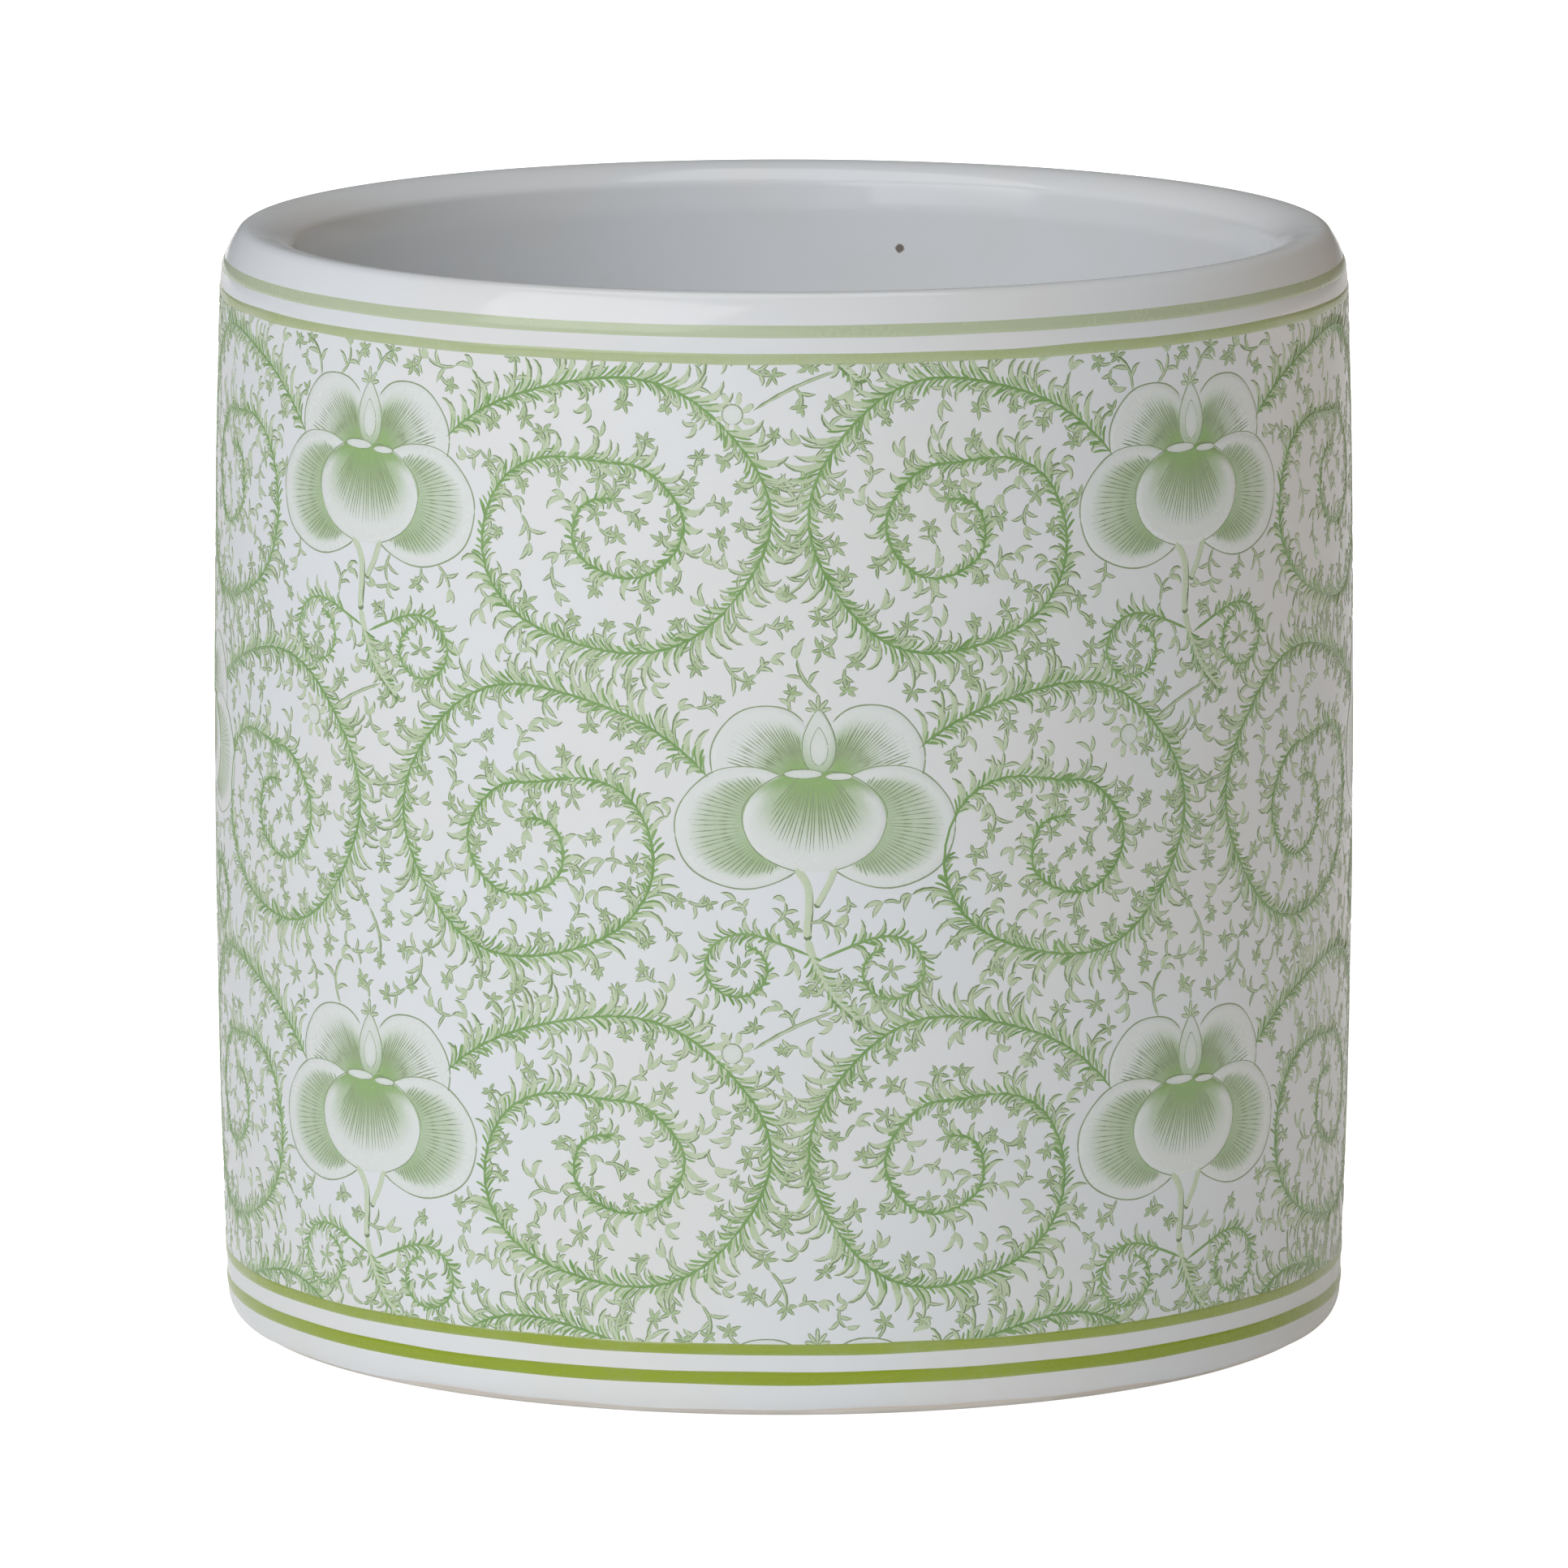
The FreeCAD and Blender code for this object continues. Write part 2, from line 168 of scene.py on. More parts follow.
class POT_PG_stage(bpy.types.PropertyGroup):
    """Camera, floor and lights."""

    camera_distance: length("Camera distance", "Level distance from the pot's axis to the camera", 2.2)
    camera_height: length("Camera height", "Height of the camera above the floor", 0.435)
    camera_tilt: turn("Camera tilt", "How far the camera looks down", 9.22)
    focal_length: FloatProperty(name="Focal length", description="Focal length of the lens in millimetres",
                                default=351.8, min=1.0, subtype="DISTANCE_CAMERA")
    floor_size: length("Floor size", "Width of the floor", 30.0)
    sky: amount("Surrounding light", "Strength of the even light from all round", 0.19)
    floor_glow: amount("Floor glow", "How far the white ground is lit up for the camera alone", 0.8)
    key: power("Key light", "Power of the soft light at the upper left", 26.0)
    fill: power("Front light", "Power of the soft light beside the camera", 17.5)
    warm: power("Warm light", "Power of the weak warm light low at the right", 5.0)
    back: power("Back light", "Power of the soft light behind the pot", 14.0)
    top: power("Top light", "Power of the soft light overhead", 11.0)


PANELS = (("Form", "brush_pot_form"), ("Enamel", "brush_pot_enamel"), ("Colours", "brush_pot_colours"),
          ("Stage", "brush_pot_stage"))

# --------------------------------------------------------------- mesh by hand


def deselect_all():
    """Leaves nothing selected, so that the next tool works on one piece only."""
    if bpy.context.object and bpy.context.object.mode != "OBJECT":
        bpy.ops.object.mode_set(mode="OBJECT")
    bpy.ops.object.select_all(action="DESELECT")


def only(piece):
    """Makes a piece the selected, active one."""
    deselect_all()
    piece.select_set(True)
    bpy.context.view_layer.objects.active = piece


def select_in_edit(piece, domain, wanted):
    """Selects the vertices, edges or faces of a piece in edit mode that a test picks."""
    bpy.ops.mesh.select_all(action="DESELECT")
    edit = bmesh.from_edit_mesh(piece.data)
    for element in getattr(edit, domain):
        if wanted(element):
            element.select_set(True)
    bmesh.update_edit_mesh(piece.data)


class ProfilePen:
    """Draws an outline beside the pot's axis, each line or arc going on from the last point."""

    def __init__(self, name, radius, height):
        deselect_all()
        bpy.ops.mesh.primitive_plane_add(size=MM)
        self.piece = bpy.context.object
        self.piece.name = name
        self.piece.data.name = name
        bpy.ops.object.mode_set(mode="EDIT")
        bpy.ops.mesh.select_all(action="SELECT")
        bpy.ops.mesh.merge(type="CENTER")
        bpy.ops.transform.translate(value=(radius, 0.0, height))
        self.radius = radius
        self.height = height

    def line(self, radius, height, steps=1):
        """A straight run to a point."""
        step = ((radius - self.radius) / steps, 0.0, (height - self.height) / steps)
        for _ in range(steps):
            bpy.ops.mesh.extrude_region_move(TRANSFORM_OT_translate={"value": step})
        self.radius = radius
        self.height = height

    def arc(self, centre_radius, centre_height, degrees, steps):
        """An arc round a centre, turning from the radius towards the height when degrees is positive."""
        angle = math.radians(degrees)
        bpy.ops.mesh.spin(steps=steps, angle=angle, center=(centre_radius, 0.0, centre_height),
                          axis=(0.0, 1.0, 0.0))
        reach = self.radius - centre_radius
        rise = self.height - centre_height
        self.radius = centre_radius + reach * math.cos(angle) - rise * math.sin(angle)
        self.height = centre_height + reach * math.sin(angle) + rise * math.cos(angle)

    def throw(self, steps):
        """Spins the outline round the axis and closes the seam and the poles."""
        bpy.ops.mesh.select_all(action="SELECT")
        bpy.ops.mesh.spin(steps=steps, angle=FULL_TURN, center=(0.0, 0.0, 0.0), axis=(0.0, 0.0, 1.0))
        bpy.ops.mesh.select_all(action="SELECT")
        bpy.ops.mesh.remove_doubles(threshold=SEAM_GAP)
        bpy.ops.mesh.normals_make_consistent(inside=False)
        bpy.ops.object.mode_set(mode="OBJECT")
        return self.piece


def smooth(piece, degrees):
    """Shades a piece smoothly, apart from edges sharper than the angle."""
    only(piece)
    bpy.ops.object.shade_smooth_by_angle(angle=math.radians(degrees))


def finish_piece(piece, material, slot, *nodes):
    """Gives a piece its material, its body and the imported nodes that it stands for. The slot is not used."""
    if not piece.data.polygons:
        raise RuntimeError(f"{piece.name} has no faces")
    piece.data.materials.clear()
    piece.data.materials.append(material)
    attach(piece, "root")
    if nodes:
        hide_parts(*nodes)


# ------------------------------------------------------------------- the form

SHOULDER = (68.53 * MM, 151.5 * MM)
SHOULDER_ROUND = 13.0 * MM
# the arcs over the lip, from outside to inside: centre as radius and height, angle at which it ends, steps
LIP_ARCS = ((SHOULDER, 35.65, 12), ((77.30 * MM, 157.8 * MM), 90.0, 10), ((77.30 * MM, 150.8 * MM), 129.7, 8),
            ((72.7 * MM, 156.34 * MM), 169.0, 6))
# the soft corner under the mouth: out from the bore, up from the height of the corner, steps
MOUTH_CORNER = 153.4 * MM
MOUTH_STEPS = ((0.06 * MM, 0.35 * MM, 3), (0.0, -0.25 * MM, 1), (0.0, -0.8 * MM, 1))
# the round edge of the hollow's roof: out from the roof's radius, up from the roof, steps
RECESS_EDGE = ((-1.0 * MM, 0.0, 6), (0.6 * MM, -0.35 * MM, 3))
FOOT_CHAMFER = 0.5 * MM
# the glaze's hem: how far above it the sagging starts, how far it sags, and over what height it fades
HEM_ROOM, HEM_SAG, HEM_FADE = 0.6 * MM, 0.16 * MM, 0.7 * MM
# the edge of the glazed disc: in from its rim, up from its underside, steps
DISC_EDGE = ((1.2 * MM, 0.0, 8), (0.5 * MM, 0.05 * MM, 1), (0.12 * MM, 0.18 * MM, 1))
CREASE = 40.0


def foot_centre(form):
    """Height of the centre of the foot's round edge."""
    return form.foot_roll - form.glaze_thickness


def side_ends(form):
    """Angles, in degrees, at which the long side curve leaves the foot edge and meets the shoulder."""
    centre = form.belly_radius - form.side_bend
    low = math.atan2(foot_centre(form) - form.belly_height, form.foot_radius - centre)
    high = math.atan2(SHOULDER[1] - form.belly_height, SHOULDER[0] - centre)
    return math.degrees(low), math.degrees(high)


def surface_radius(form, height):
    """Radius of the glazed outside at heights given as an array."""
    centre = form.belly_radius - form.side_bend
    side = centre + np.sqrt(form.side_bend ** 2 - (height - form.belly_height) ** 2)
    rise = np.clip(height - SHOULDER[1], 0.0, 0.75 * SHOULDER_ROUND)
    shoulder = SHOULDER[0] + np.sqrt(SHOULDER_ROUND ** 2 - rise ** 2)
    drop = np.clip(foot_centre(form) - height, 0.0, 0.9 * form.foot_roll)
    foot = form.foot_radius + np.sqrt(form.foot_roll ** 2 - drop ** 2)
    low, high = (math.radians(a) for a in side_ends(form))
    join_high = form.belly_height + form.side_bend * math.sin(high)
    join_low = form.belly_height + form.side_bend * math.sin(low)
    return np.where(height > join_high, shoulder, np.where(height < join_low, foot, side))


def draw_wall(pen, form, inset):
    """Draws side, lip and bore down to the middle of the floor, from a pen that already stands inset."""
    low, high = side_ends(form)
    pen.arc(form.belly_radius - form.side_bend, form.belly_height, high - low, 44)
    turned = high
    for centre, end, steps in LIP_ARCS:
        pen.arc(*centre, end - turned, steps)
        turned = end
    bore = form.bore_radius + inset
    for out, up, steps in MOUTH_STEPS:
        pen.line(bore + out, MOUTH_CORNER + up, steps)
    corner = form.floor_round + inset
    corner_centre = form.floor_height + form.floor_round
    pen.line(bore, corner_centre, 16)
    pen.arc(bore - corner, corner_centre, -90.0, 12)
    pen.line(0.0, form.floor_height - inset, 8)


class POT_OT_body(bpy.types.Operator):
    """Throw the porcelain blank: wall, floor, hollow and bare foot ring"""

    bl_idname = "brush_pot.body"
    bl_label = "Porcelain Body"

    def execute(self, context):
        form = context.scene.brush_pot_form
        low, _ = side_ends(form)
        pen = ProfilePen("turned_body", 0.0, form.recess_depth)
        for out, up, steps in RECESS_EDGE:
            pen.line(form.recess_radius + out, form.recess_depth + up, steps)
        pen.line(form.foot_inside - FOOT_CHAMFER, 1.2 * FOOT_CHAMFER, 3)
        pen.line(form.foot_inside - 0.2 * FOOT_CHAMFER, 0.25 * FOOT_CHAMFER, 2)
        pen.line(form.foot_inside + FOOT_CHAMFER, 0.0)
        pen.line(form.foot_radius, 0.0, 4)
        pen.arc(form.foot_radius, foot_centre(form), 90.0 + low, 14)
        draw_wall(pen, form, form.glaze_thickness)
        piece = pen.throw(form.steps_round)
        smooth(piece, CREASE)
        finish_piece(piece, biscuit_material(context.scene.brush_pot_colours), "porcelain", "porcelain_body")
        return {"FINISHED"}


class POT_OT_glaze(bpy.types.Operator):
    """Pour the white glaze: outside, lip, bore and floor in one coat, with a wavering hem above the foot"""

    bl_idname = "brush_pot.glaze"
    bl_label = "Glaze Coat"

    def execute(self, context):
        form = context.scene.brush_pot_form
        low, _ = side_ends(form)
        hem = math.asin((form.hem_height - foot_centre(form)) / form.foot_roll)
        start = (form.foot_radius + form.foot_roll * math.cos(hem), form.hem_height)
        pen = ProfilePen("poured_glaze", *start)
        pen.arc(form.foot_radius, foot_centre(form), low - math.degrees(hem), 10)
        draw_wall(pen, form, 0.0)
        piece = pen.throw(form.steps_round)
        only(piece)
        wall = piece.modifiers.new("Coat", "SOLIDIFY")
        wall.thickness = form.glaze_thickness
        wall.offset = -1.0
        bpy.ops.object.modifier_apply(modifier=wall.name)
        roll_hem(piece, form)
        smooth(piece, CREASE)
        finish_piece(piece, glaze_material(context.scene.brush_pot_colours), "glaze", "glaze_coat")
        return {"FINISHED"}


def roll_hem(piece, form):
    """Lets the lower edge of the glaze rise and sag a little."""
    waves = Waves(random.Random(5), count=9, lowest=3, highest=30)
    for vertex in piece.data.vertices:
        at = vertex.co
        reach = math.hypot(at.x, at.y)
        if at.z < form.hem_height + HEM_ROOM and reach > form.foot_radius:
            sag = waves.at(math.atan2(at.y, at.x)) * HEM_SAG
            at.z += sag * (1.0 - max(0.0, at.z - form.hem_height) / HEM_FADE)


class Waves:
    """A smooth closed curve round the pot, from a few sines with random phases."""

    def __init__(self, draw, count, lowest, highest):
        self.terms = [(draw.randint(lowest, highest), draw.uniform(0.0, FULL_TURN), draw.uniform(0.4, 1.0))
                      for _ in range(count)]
        self.scale = 1.0 / math.sqrt(count)

    def at(self, angle):
        """Value at an angle or an array of angles, mostly between -1 and 1."""
        return self.scale * sum(size * np.sin(turns * angle + phase) for turns, phase, size in self.terms)


class POT_OT_base_glaze(bpy.types.Operator):
    """Lay the glazed disc in the hollow under the pot"""

    bl_idname = "brush_pot.base_glaze"
    bl_label = "Base Glaze"

    def execute(self, context):
        radius = BASE_DISC_HIGH.x
        low = BASE_DISC_LOW.z
        high = BASE_DISC_HIGH.z
        pen = ProfilePen("underglazed_base", 0.0, low)
        for inward, up, steps in DISC_EDGE:
            pen.line(radius - inward, low + up, steps)
        pen.line(radius, high)
        pen.line(0.0, high, 4)
        piece = pen.throw(128)
        smooth(piece, 50.0)
        finish_piece(piece, glaze_material(context.scene.brush_pot_colours), "glaze", "base_glaze")
        return {"FINISHED"}


# ------------------------------------------------------------------ materials


def new_material(name):
    """An empty node material and its Principled shader."""
    material = bpy.data.materials.new(name)
    material.use_nodes = True
    tree = material.node_tree
    tree.nodes.clear()
    shader = tree.nodes.new("ShaderNodeBsdfPrincipled")
    output = tree.nodes.new("ShaderNodeOutputMaterial")
    tree.links.new(shader.outputs["BSDF"], output.inputs["Surface"])
    return material, tree, shader


def colour(values):
    """A colour property as a four-part colour."""
    return (values[0], values[1], values[2], 1.0)


def object_place(tree, scale=(1.0, 1.0, 1.0)):
    """Object coordinates, stretched by a Mapping node."""
    place = tree.nodes.new("ShaderNodeTexCoord")
    mapping = tree.nodes.new("ShaderNodeMapping")
    mapping.inputs["Scale"].default_value = scale
    tree.links.new(place.outputs["Object"], mapping.inputs["Vector"])
    return mapping.outputs["Vector"]


def noise(tree, vector, scale, detail=3.0, roughness=0.5):
    """A noise texture's value."""
    node = tree.nodes.new("ShaderNodeTexNoise")
    node.inputs["Scale"].default_value = scale
    node.inputs["Detail"].default_value = detail
    node.inputs["Roughness"].default_value = roughness
    tree.links.new(vector, node.inputs["Vector"])
    return node.outputs["Fac"]


def spread(tree, value, low, high, to_low=0.0, to_high=1.0):
    """A value mapped smoothly from one range to another and clamped."""
    node = tree.nodes.new("ShaderNodeMapRange")
    node.interpolation_type = "SMOOTHSTEP"
    node.inputs["From Min"].default_value = low
    node.inputs["From Max"].default_value = high
    node.inputs["To Min"].default_value = to_low
    node.inputs["To Max"].default_value = to_high
    tree.links.new(value, node.inputs["Value"])
    return node.outputs["Result"]


def mix(tree, share, first, second):
    """Two colours mixed by a value. Each is a plain colour or a socket."""
    node = tree.nodes.new("ShaderNodeMix")
    node.data_type = "RGBA"
    tree.links.new(share, node.inputs["Factor"])
    for socket, given in ((node.inputs[6], first), (node.inputs[7], second)):
        if isinstance(given, bpy.types.NodeSocket):
            tree.links.new(given, socket)
        else:
            socket.default_value = given
    return node.outputs[2]


def calculate(tree, operation, first, second):
    """One arithmetic step between sockets or plain numbers."""
    node = tree.nodes.new("ShaderNodeMath")
    node.operation = operation
    for socket, given in ((node.inputs[0], first), (node.inputs[1], second)):
        if isinstance(given, bpy.types.NodeSocket):
            tree.links.new(given, socket)
        else:
            socket.default_value = given
    return node.outputs["Value"]


def bump(tree, shader, height, strength, distance):
    """Feeds a height into the shader's normal."""
    node = tree.nodes.new("ShaderNodeBump")
    node.inputs["Strength"].default_value = strength
    node.inputs["Distance"].default_value = distance
    tree.links.new(height, node.inputs["Height"])
    tree.links.new(node.outputs["Normal"], shader.inputs["Normal"])


def new_group(name, inputs, outputs):
    """An empty shader node group with its sockets, and its input and output nodes."""
    group = bpy.data.node_groups.new(name, "ShaderNodeTree")
    for label, kind, default in inputs:
        socket = group.interface.new_socket(label, in_out="INPUT", socket_type=kind)
        if default is not None:
            socket.default_value = default
    for label, kind in outputs:
        group.interface.new_socket(label, in_out="OUTPUT", socket_type=kind)
    return group, group.nodes.new("NodeGroupInput"), group.nodes.new("NodeGroupOutput")


def fired_enamel_group():
    """Shared look of fired enamel: its tint by thickness, its gloss and its fine relief."""
    found = bpy.data.node_groups.get("Fired Enamel")
    if found:
        return found
    group, given, result = new_group(
        "Fired Enamel",
        [("Thin", "NodeSocketColor", None), ("Thick", "NodeSocketColor", None),
         ("Thickness", "NodeSocketFloat", 0.5), ("Unevenness", "NodeSocketFloat", 0.3)],
        [("Color", "NodeSocketColor"), ("Roughness", "NodeSocketFloat"), ("Height", "NodeSocketFloat")])
    place = object_place(group)
    cloud = noise(group, place, 95.0, 2.0)
    grain = noise(group, place, 1500.0, 2.0)
    both = calculate(group, "ADD", calculate(group, "MULTIPLY", cloud, 1.3),
                     calculate(group, "MULTIPLY", grain, 0.7))
    shift = calculate(group, "MULTIPLY", calculate(group, "SUBTRACT", both, 1.0), given.outputs["Unevenness"])
    thickness = calculate(group, "ADD", given.outputs["Thickness"], shift)
    clamped = spread(group, thickness, 0.0, 1.0)
    tint = mix(group, clamped, given.outputs["Thin"], given.outputs["Thick"])
    group.links.new(tint, result.inputs["Color"])
    group.links.new(spread(group, both, 0.5, 1.5, 0.16, 0.34), result.inputs["Roughness"])
    group.links.new(grain, result.inputs["Height"])
    return group


def enamel_material(name, thin, thick, attribute, unevenness):
    """Green enamel whose thickness comes from an attribute of the drawing."""
    found = bpy.data.materials.get(name)
    if found:
        return found
    material, tree, shader = new_material(name)
    reader = tree.nodes.new("ShaderNodeAttribute")
    reader.attribute_name = attribute
    effect = tree.nodes.new("ShaderNodeGroup")
    effect.node_tree = fired_enamel_group()
    effect.inputs["Thin"].default_value = colour(thin)
    effect.inputs["Thick"].default_value = colour(thick)
    effect.inputs["Unevenness"].default_value = unevenness
    tree.links.new(reader.outputs["Fac"], effect.inputs["Thickness"])
    tree.links.new(effect.outputs["Color"], shader.inputs["Base Color"])
    tree.links.new(effect.outputs["Roughness"], shader.inputs["Roughness"])
    shader.inputs["Coat Weight"].default_value = 0.35
    shader.inputs["Coat Roughness"].default_value = 0.06
    bump(tree, shader, effect.outputs["Height"], 0.25, 0.04 * MM)
    return material


# one larger fleck of iron in the glaze, high on the inside of the far wall
FLECK_PLACE = (17.3 * MM, 67.9 * MM, 147.8 * MM)


def glaze_material(colours):
    """White gloss glaze with a cold cast, slow mottling and a few iron specks."""
    found = bpy.data.materials.get("White Glaze")
    if found:
        return found
    material, tree, shader = new_material("White Glaze")
    place = object_place(tree)
    cloud = noise(tree, place, 22.0, 3.0)
    body = mix(tree, spread(tree, cloud, 0.35, 0.65), colour(colours.glaze_thin), colour(colours.glaze))
    cells = tree.nodes.new("ShaderNodeTexVoronoi")
    cells.inputs["Scale"].default_value = 46.0
    tree.links.new(place, cells.inputs["Vector"])
    rare = spread(tree, cells.outputs["Color"], 0.80, 0.86)
    dot = spread(tree, cells.outputs["Distance"], 0.012, 0.024, 1.0, 0.0)
    speck = calculate(tree, "MULTIPLY", calculate(tree, "MULTIPLY", rare, dot), 0.75)
    away = tree.nodes.new("ShaderNodeVectorMath")
    away.operation = "DISTANCE"
    tree.links.new(place, away.inputs[0])
    away.inputs[1].default_value = FLECK_PLACE
    ragged = calculate(tree, "ADD", away.outputs["Value"],
                       calculate(tree, "MULTIPLY", noise(tree, place, 1100.0, 2.0), 0.8 * MM))
    fleck = spread(tree, ragged, 0.9 * MM, 1.15 * MM, 0.9, 0.0)
    tinted = mix(tree, calculate(tree, "MAXIMUM", speck, fleck), body, colour(colours.iron))
    tree.links.new(tinted, shader.inputs["Base Color"])
    tree.links.new(spread(tree, noise(tree, place, 160.0, 2.0), 0.3, 0.7, 0.07, 0.15),
                   shader.inputs["Roughness"])
    slow = noise(tree, place, 55.0, 1.0)
    fine = calculate(tree, "MULTIPLY", noise(tree, place, 420.0, 1.0), 0.12)
    bump(tree, shader, calculate(tree, "ADD", slow, fine), 0.35, 0.12 * MM)
    shader.inputs["IOR"].default_value = 1.5
    return material


# how much of each part of its colour the clay keeps in its darker mottles
BISCUIT_DARKER = (0.86, 0.85, 0.82)


def biscuit_material(colours):
    """Bare fired clay: dry, fine grained, warmer where it meets the glaze."""
    material, tree, shader = new_material("Biscuit Clay")
    place = object_place(tree)
    separate = tree.nodes.new("ShaderNodeSeparateXYZ")
    tree.links.new(place, separate.inputs["Vector"])
    ragged = calculate(tree, "MULTIPLY", noise(tree, place, 120.0, 3.0), 1.2 * MM)
    height = calculate(tree, "SUBTRACT", separate.outputs["Z"], ragged)
    flash = spread(tree, height, 0.2 * MM, 1.1 * MM, 0.0, 0.8)
    grain = noise(tree, place, 900.0, 4.0, 0.7)
    mottle = spread(tree, noise(tree, place, 60.0, 3.0), 0.3, 0.7)
    pale = colour(colours.biscuit)
    deep = colour([value * share for value, share in zip(pale, BISCUIT_DARKER)])
    clay = mix(tree, mottle, pale, deep)
    tree.links.new(mix(tree, flash, clay, colour(colours.biscuit_flash)), shader.inputs["Base Color"])
    tree.links.new(spread(tree, grain, 0.2, 0.8, 0.62, 0.9), shader.inputs["Roughness"])
    bump(tree, shader, grain, 0.6, 0.12 * MM)
    return material


# ----------------------------------------------------------------- ring lines


class POT_OT_ring_lines(bpy.types.Operator):
    """Band the four green lines: one narrow ring of enamel each, a little uneven as from a loaded brush"""

    bl_idname = "brush_pot.ring_lines"
    bl_label = "Ring Lines"

    # how thick the enamel lies on each line, from 0 to 1, and how far its edges wander in millimetres
    LOADS = {"upper_rim_line": (0.05, 0.05), "lower_rim_line": (0.38, 0.07),
             "upper_foot_line": (0.77, 0.10), "lower_foot_line": (1.0, 0.08)}

    def execute(self, context):
        form = context.scene.brush_pot_form
        enamel = context.scene.brush_pot_enamel
        colours = context.scene.brush_pot_colours
        for order, node in enumerate(RING_LINES):
            load, wander = self.LOADS[node]
            piece = band_line(node, form, enamel, load, wander * MM, random.Random(40 + order))
            material = enamel_material("Line Enamel", colours.line_thin, colours.line_thick, "thickness", 0.3)
            finish_piece(piece, material, "line_enamel", node)
        return {"FINISHED"}


RING_STATIONS = 9
RING_STEPS = 360


def band_line(node, form, enamel, load, wander, draw):
    """One ring line, drawn across its width, spun round and then made uneven."""
    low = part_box(node)[0].z
    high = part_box(node)[1].z
    across = np.linspace(0.0, 1.0, RING_STATIONS)
    heights = low + (high - low) * across
    reach = surface_radius(form, heights)
    crown = enamel.thickness * (1.0 - np.abs(2.0 * across - 1.0) ** 3)
    pen = ProfilePen(node.replace("line", "ring"), float(reach[0]) - enamel.bed, low)
    for radius, height, rise in zip(reach, heights, crown):
        pen.line(float(radius) + float(rise), float(height))
    pen.line(float(reach[-1]) - enamel.bed, high)
    pen.line(float(reach[0]) - enamel.bed, low)
    piece = pen.throw(RING_STEPS)
    spots = np.empty(len(piece.data.vertices) * 3)
    piece.data.vertices.foreach_get("co", spots)
    spots = spots.reshape(-1, 3)
    angle = np.arctan2(spots[:, 1], spots[:, 0])
    place = np.clip((spots[:, 2] - low) / (high - low), 0.0, 1.0)
    upper = Waves(draw, count=7, lowest=2, highest=26)
    lower = Waves(draw, count=7, lowest=2, highest=26)
    body = Waves(draw, count=6, lowest=1, highest=9)
    rise = np.hypot(spots[:, 0], spots[:, 1]) - surface_radius(form, spots[:, 2])
    spots[:, 2] += wander * (place * upper.at(angle) + (1.0 - place) * lower.at(angle))
    new_reach = surface_radius(form, spots[:, 2]) + rise * (1.0 + 0.15 * body.at(angle))
    old_reach = np.hypot(spots[:, 0], spots[:, 1])
    spots[:, 0] *= new_reach / old_reach
    spots[:, 1] *= new_reach / old_reach
    piece.data.vertices.foreach_set("co", spots.ravel())
    pooled = 0.8 + 0.2 * (1.0 - np.abs(2.0 * place - 1.0) ** 2.0)
    amount_here = load * pooled * (1.0 + 0.12 * body.at(angle))
    store_attribute(piece, "thickness", amount_here)
    smooth(piece, 50.0)
    return piece


def store_attribute(piece, name, values):
    """Writes one number for each vertex of a piece."""
    attribute = piece.data.attributes.new(name, "FLOAT", "POINT")
    attribute.data.foreach_set("value", np.asarray(values, np.float32))


# -------------------------------------------------------------------- strokes


class Blank:
    """A brush stroke modelled once, and then laid along many lines. Its points are kept as a place along the
    stroke from 0 to 1, a place across it from -1 to 1, and a height from 0 at its edges to 1 at its crest."""

    END_HEIGHT = 0.35

    def __init__(self, stations):
        places, widths = zip(*stations)
        self.places = np.array(places)
        count = len(places)
        deselect_all()
        bpy.ops.mesh.primitive_cylinder_add(vertices=3, radius=1.0, depth=1.0,
                                            rotation=(0.0, math.pi / 2.0, 0.0))
        piece = bpy.context.object
        bpy.ops.object.transform_apply(location=True, rotation=True, scale=True)
        bpy.ops.object.mode_set(mode="EDIT")
        select_in_edit(piece, "edges", lambda e: abs(e.verts[0].co.x - e.verts[1].co.x) > 0.5)
        bpy.ops.mesh.subdivide(number_cuts=count - 2)
        for end in (-0.5, 0.5):
            select_in_edit(piece, "verts", lambda v, end=end: abs(v.co.x - end) < 1e-4)
            bpy.ops.mesh.merge(type="CENTER")
        bpy.ops.object.mode_set(mode="OBJECT")
        self.shape(piece, count, widths)
        only(piece)
        bpy.ops.object.mode_set(mode="EDIT")
        bpy.ops.mesh.select_all(action="SELECT")
        bpy.ops.mesh.normals_make_consistent(inside=False)
        bpy.ops.object.mode_set(mode="OBJECT")
        self.points = np.array([v.co for v in piece.data.vertices])
        self.stations = np.rint(self.points[:, 0] * (count - 1)).astype(int)
        self.faces = [tuple(p.vertices) for p in piece.data.polygons]
        bpy.data.objects.remove(piece)

    @staticmethod
    def shape(piece, count, widths):
        """Moves each corner of the three-sided rod to its place: two edges on the ground, one crest above."""
        for vertex in piece.data.vertices:
            station = round((vertex.co.x + 0.5) * (count - 1))
            crest = vertex.co.y > 0.5
            end = station in (0, count - 1)
            side = 0.0 if crest or end else math.copysign(widths[station], vertex.co.z)
            height = Blank.END_HEIGHT if end else float(crest)
            vertex.co = (station / (count - 1), side, height)


